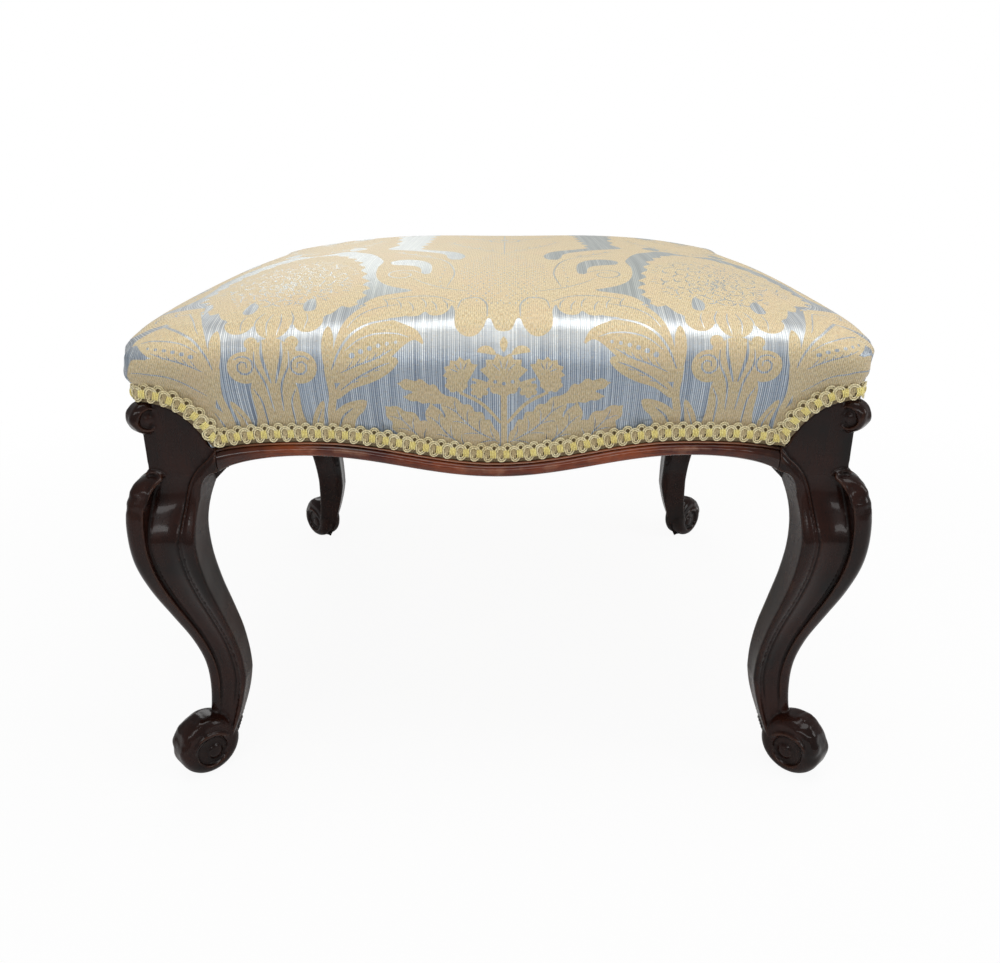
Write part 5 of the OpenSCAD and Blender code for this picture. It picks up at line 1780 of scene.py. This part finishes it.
def dressFrame():
    looks = {"rail_front": beechX, "rail_rear": beechX, "rail_left": beechY, "rail_right": beechY,
             "rail_dowels": beechX, "block_screws": metalLook("screwSteel", (0.42, 0.40, 0.37), 0.32),
             "webbing_tacks": metalLook("bluedSteel", (0.09, 0.11, 0.14), 0.36)}
    for corner in ("front_left", "front_right", "rear_right", "rear_left"):
        looks["corner_block_" + corner] = beechX if corner in ("front_left", "rear_right") else beechY
    for name, look in looks.items():
        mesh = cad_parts[name].data
        mesh.materials.clear()
        mesh.materials.append(look)


dressFrame()


# Camera, stage and light
cameraView = {"place": (0.0063, -0.7451, 0.4186), "yaw": -0.519, "pitch": 20.213, "roll": -0.311, "lens": 31.24}


def setCamera(view):
    yaw, pitch, roll = (math.radians(view[k]) for k in ("yaw", "pitch", "roll"))
    forward, right = Vector((math.sin(yaw), math.cos(yaw), 0)), Vector((math.cos(yaw), -math.sin(yaw), 0))
    up = Vector((0, 0, 1))
    ahead = forward * math.cos(pitch) - up * math.sin(pitch)
    above = forward * math.sin(pitch) + up * math.cos(pitch)
    x = right * math.cos(roll) + above * math.sin(roll)
    y = -right * math.sin(roll) + above * math.cos(roll)
    data = bpy.data.cameras.new("photoView")
    data.lens, data.sensor_width, data.sensor_fit = view["lens"], 36, "HORIZONTAL"
    data.clip_start = 0.05
    camera = newObject("photoView", data)
    camera.matrix_world = Matrix.Translation(view["place"]) @ Matrix((x, y, -ahead)).transposed().to_4x4()
    bpy.context.scene.camera = camera


stageLook = {"floor": 12.0, "ownWhite": 0.93, "ambient": 0.34, "mirror": 0.34, "near": 0.35, "far": 1.1}
lamps = {"overhead": {"at": (0.15, -0.35, 1.9), "aim": (0, 0, 0.3), "size": (1.6, 1.1), "watts": 19},
         "front": {"at": (-0.25, -1.9, 0.95), "aim": (0, 0, 0.25), "size": (2.2, 0.20), "watts": 8},
         "rightSide": {"at": (1.7, -0.5, 0.9), "aim": (0, 0, 0.25), "size": (0.6, 0.9), "watts": 6},
         "back": {"at": (-0.6, 1.9, 1.1), "aim": (0, 0, 0.25), "size": (1.0, 0.8), "watts": 6}}


def setStage():
    h = stageLook["floor"] / 2 / mm
    m = bpy.data.materials.new("paleFloor")
    m.use_nodes = True
    tree = m.node_tree
    tree.nodes.clear()
    plain = node(tree, "ShaderNodeBsdfDiffuse", {"Color": (0.86, 0.86, 0.86, 1)})
    white = node(tree, "ShaderNodeEmission", {"Color": (1, 1, 1, 1), "Strength": 1.0})
    away = node(tree, "ShaderNodeVectorMath", {0: objectPlace(tree)}, operation="LENGTH").outputs["Value"]
    fade = {"Value": away, "From Min": stageLook["near"], "From Max": stageLook["far"], "To Min": stageLook["ownWhite"]}
    clear = node(tree, "ShaderNodeMapRange", fade, interpolation_type="SMOOTHSTEP").outputs[0]
    seen = times(tree, node(tree, "ShaderNodeLightPath").outputs["Is Camera Ray"], clear)
    both = node(tree, "ShaderNodeMixShader", {0: seen, 1: plain.outputs[0], 2: white.outputs[0]})
    # seen from below, the floor lets the view through
    behind = node(tree, "ShaderNodeNewGeometry").outputs["Backfacing"]
    clear = node(tree, "ShaderNodeBsdfTransparent").outputs[0]
    under = node(tree, "ShaderNodeMixShader", {0: behind, 1: both.outputs[0], 2: clear})
    node(tree, "ShaderNodeOutputMaterial", {"Surface": under.outputs[0]})
    floor = makeMesh("floor", [(-h, -h, 0), (h, -h, 0), (h, h, 0), (-h, h, 0)], [(0, 1, 2, 3)], m, False)
    world = bpy.data.worlds.new("paleRoom")
    bpy.context.scene.world = world
    world.use_nodes = True
    tree = world.node_tree
    tree.nodes.clear()
    path = node(tree, "ShaderNodeLightPath")
    shown = maths(tree, "MAXIMUM", path.outputs["Is Camera Ray"], path.outputs["Is Transmission Ray"])
    shown = maths(tree, "MAXIMUM", shown, times(tree, path.outputs["Is Glossy Ray"], stageLook["mirror"]))
    strength = maths(tree, "MAXIMUM", shown, stageLook["ambient"])
    sky = node(tree, "ShaderNodeBackground", {"Color": (1, 1, 1, 1), "Strength": strength})
    node(tree, "ShaderNodeOutputWorld", {"Surface": sky.outputs[0]})
    for name, c in lamps.items():
        data = bpy.data.lights.new(name, "AREA")
        data.shape, data.size, data.size_y, data.energy = "RECTANGLE", *c["size"], c["watts"]
        lamp = newObject(name, data)
        at = Vector(c["at"])
        turn = (at - Vector(c["aim"])).to_track_quat("Z", "Y").to_matrix().to_4x4()
        lamp.matrix_world = Matrix.Translation(at) @ turn


setCamera(cameraView)
setStage()
bpy.context.scene.view_settings.view_transform = "Standard"
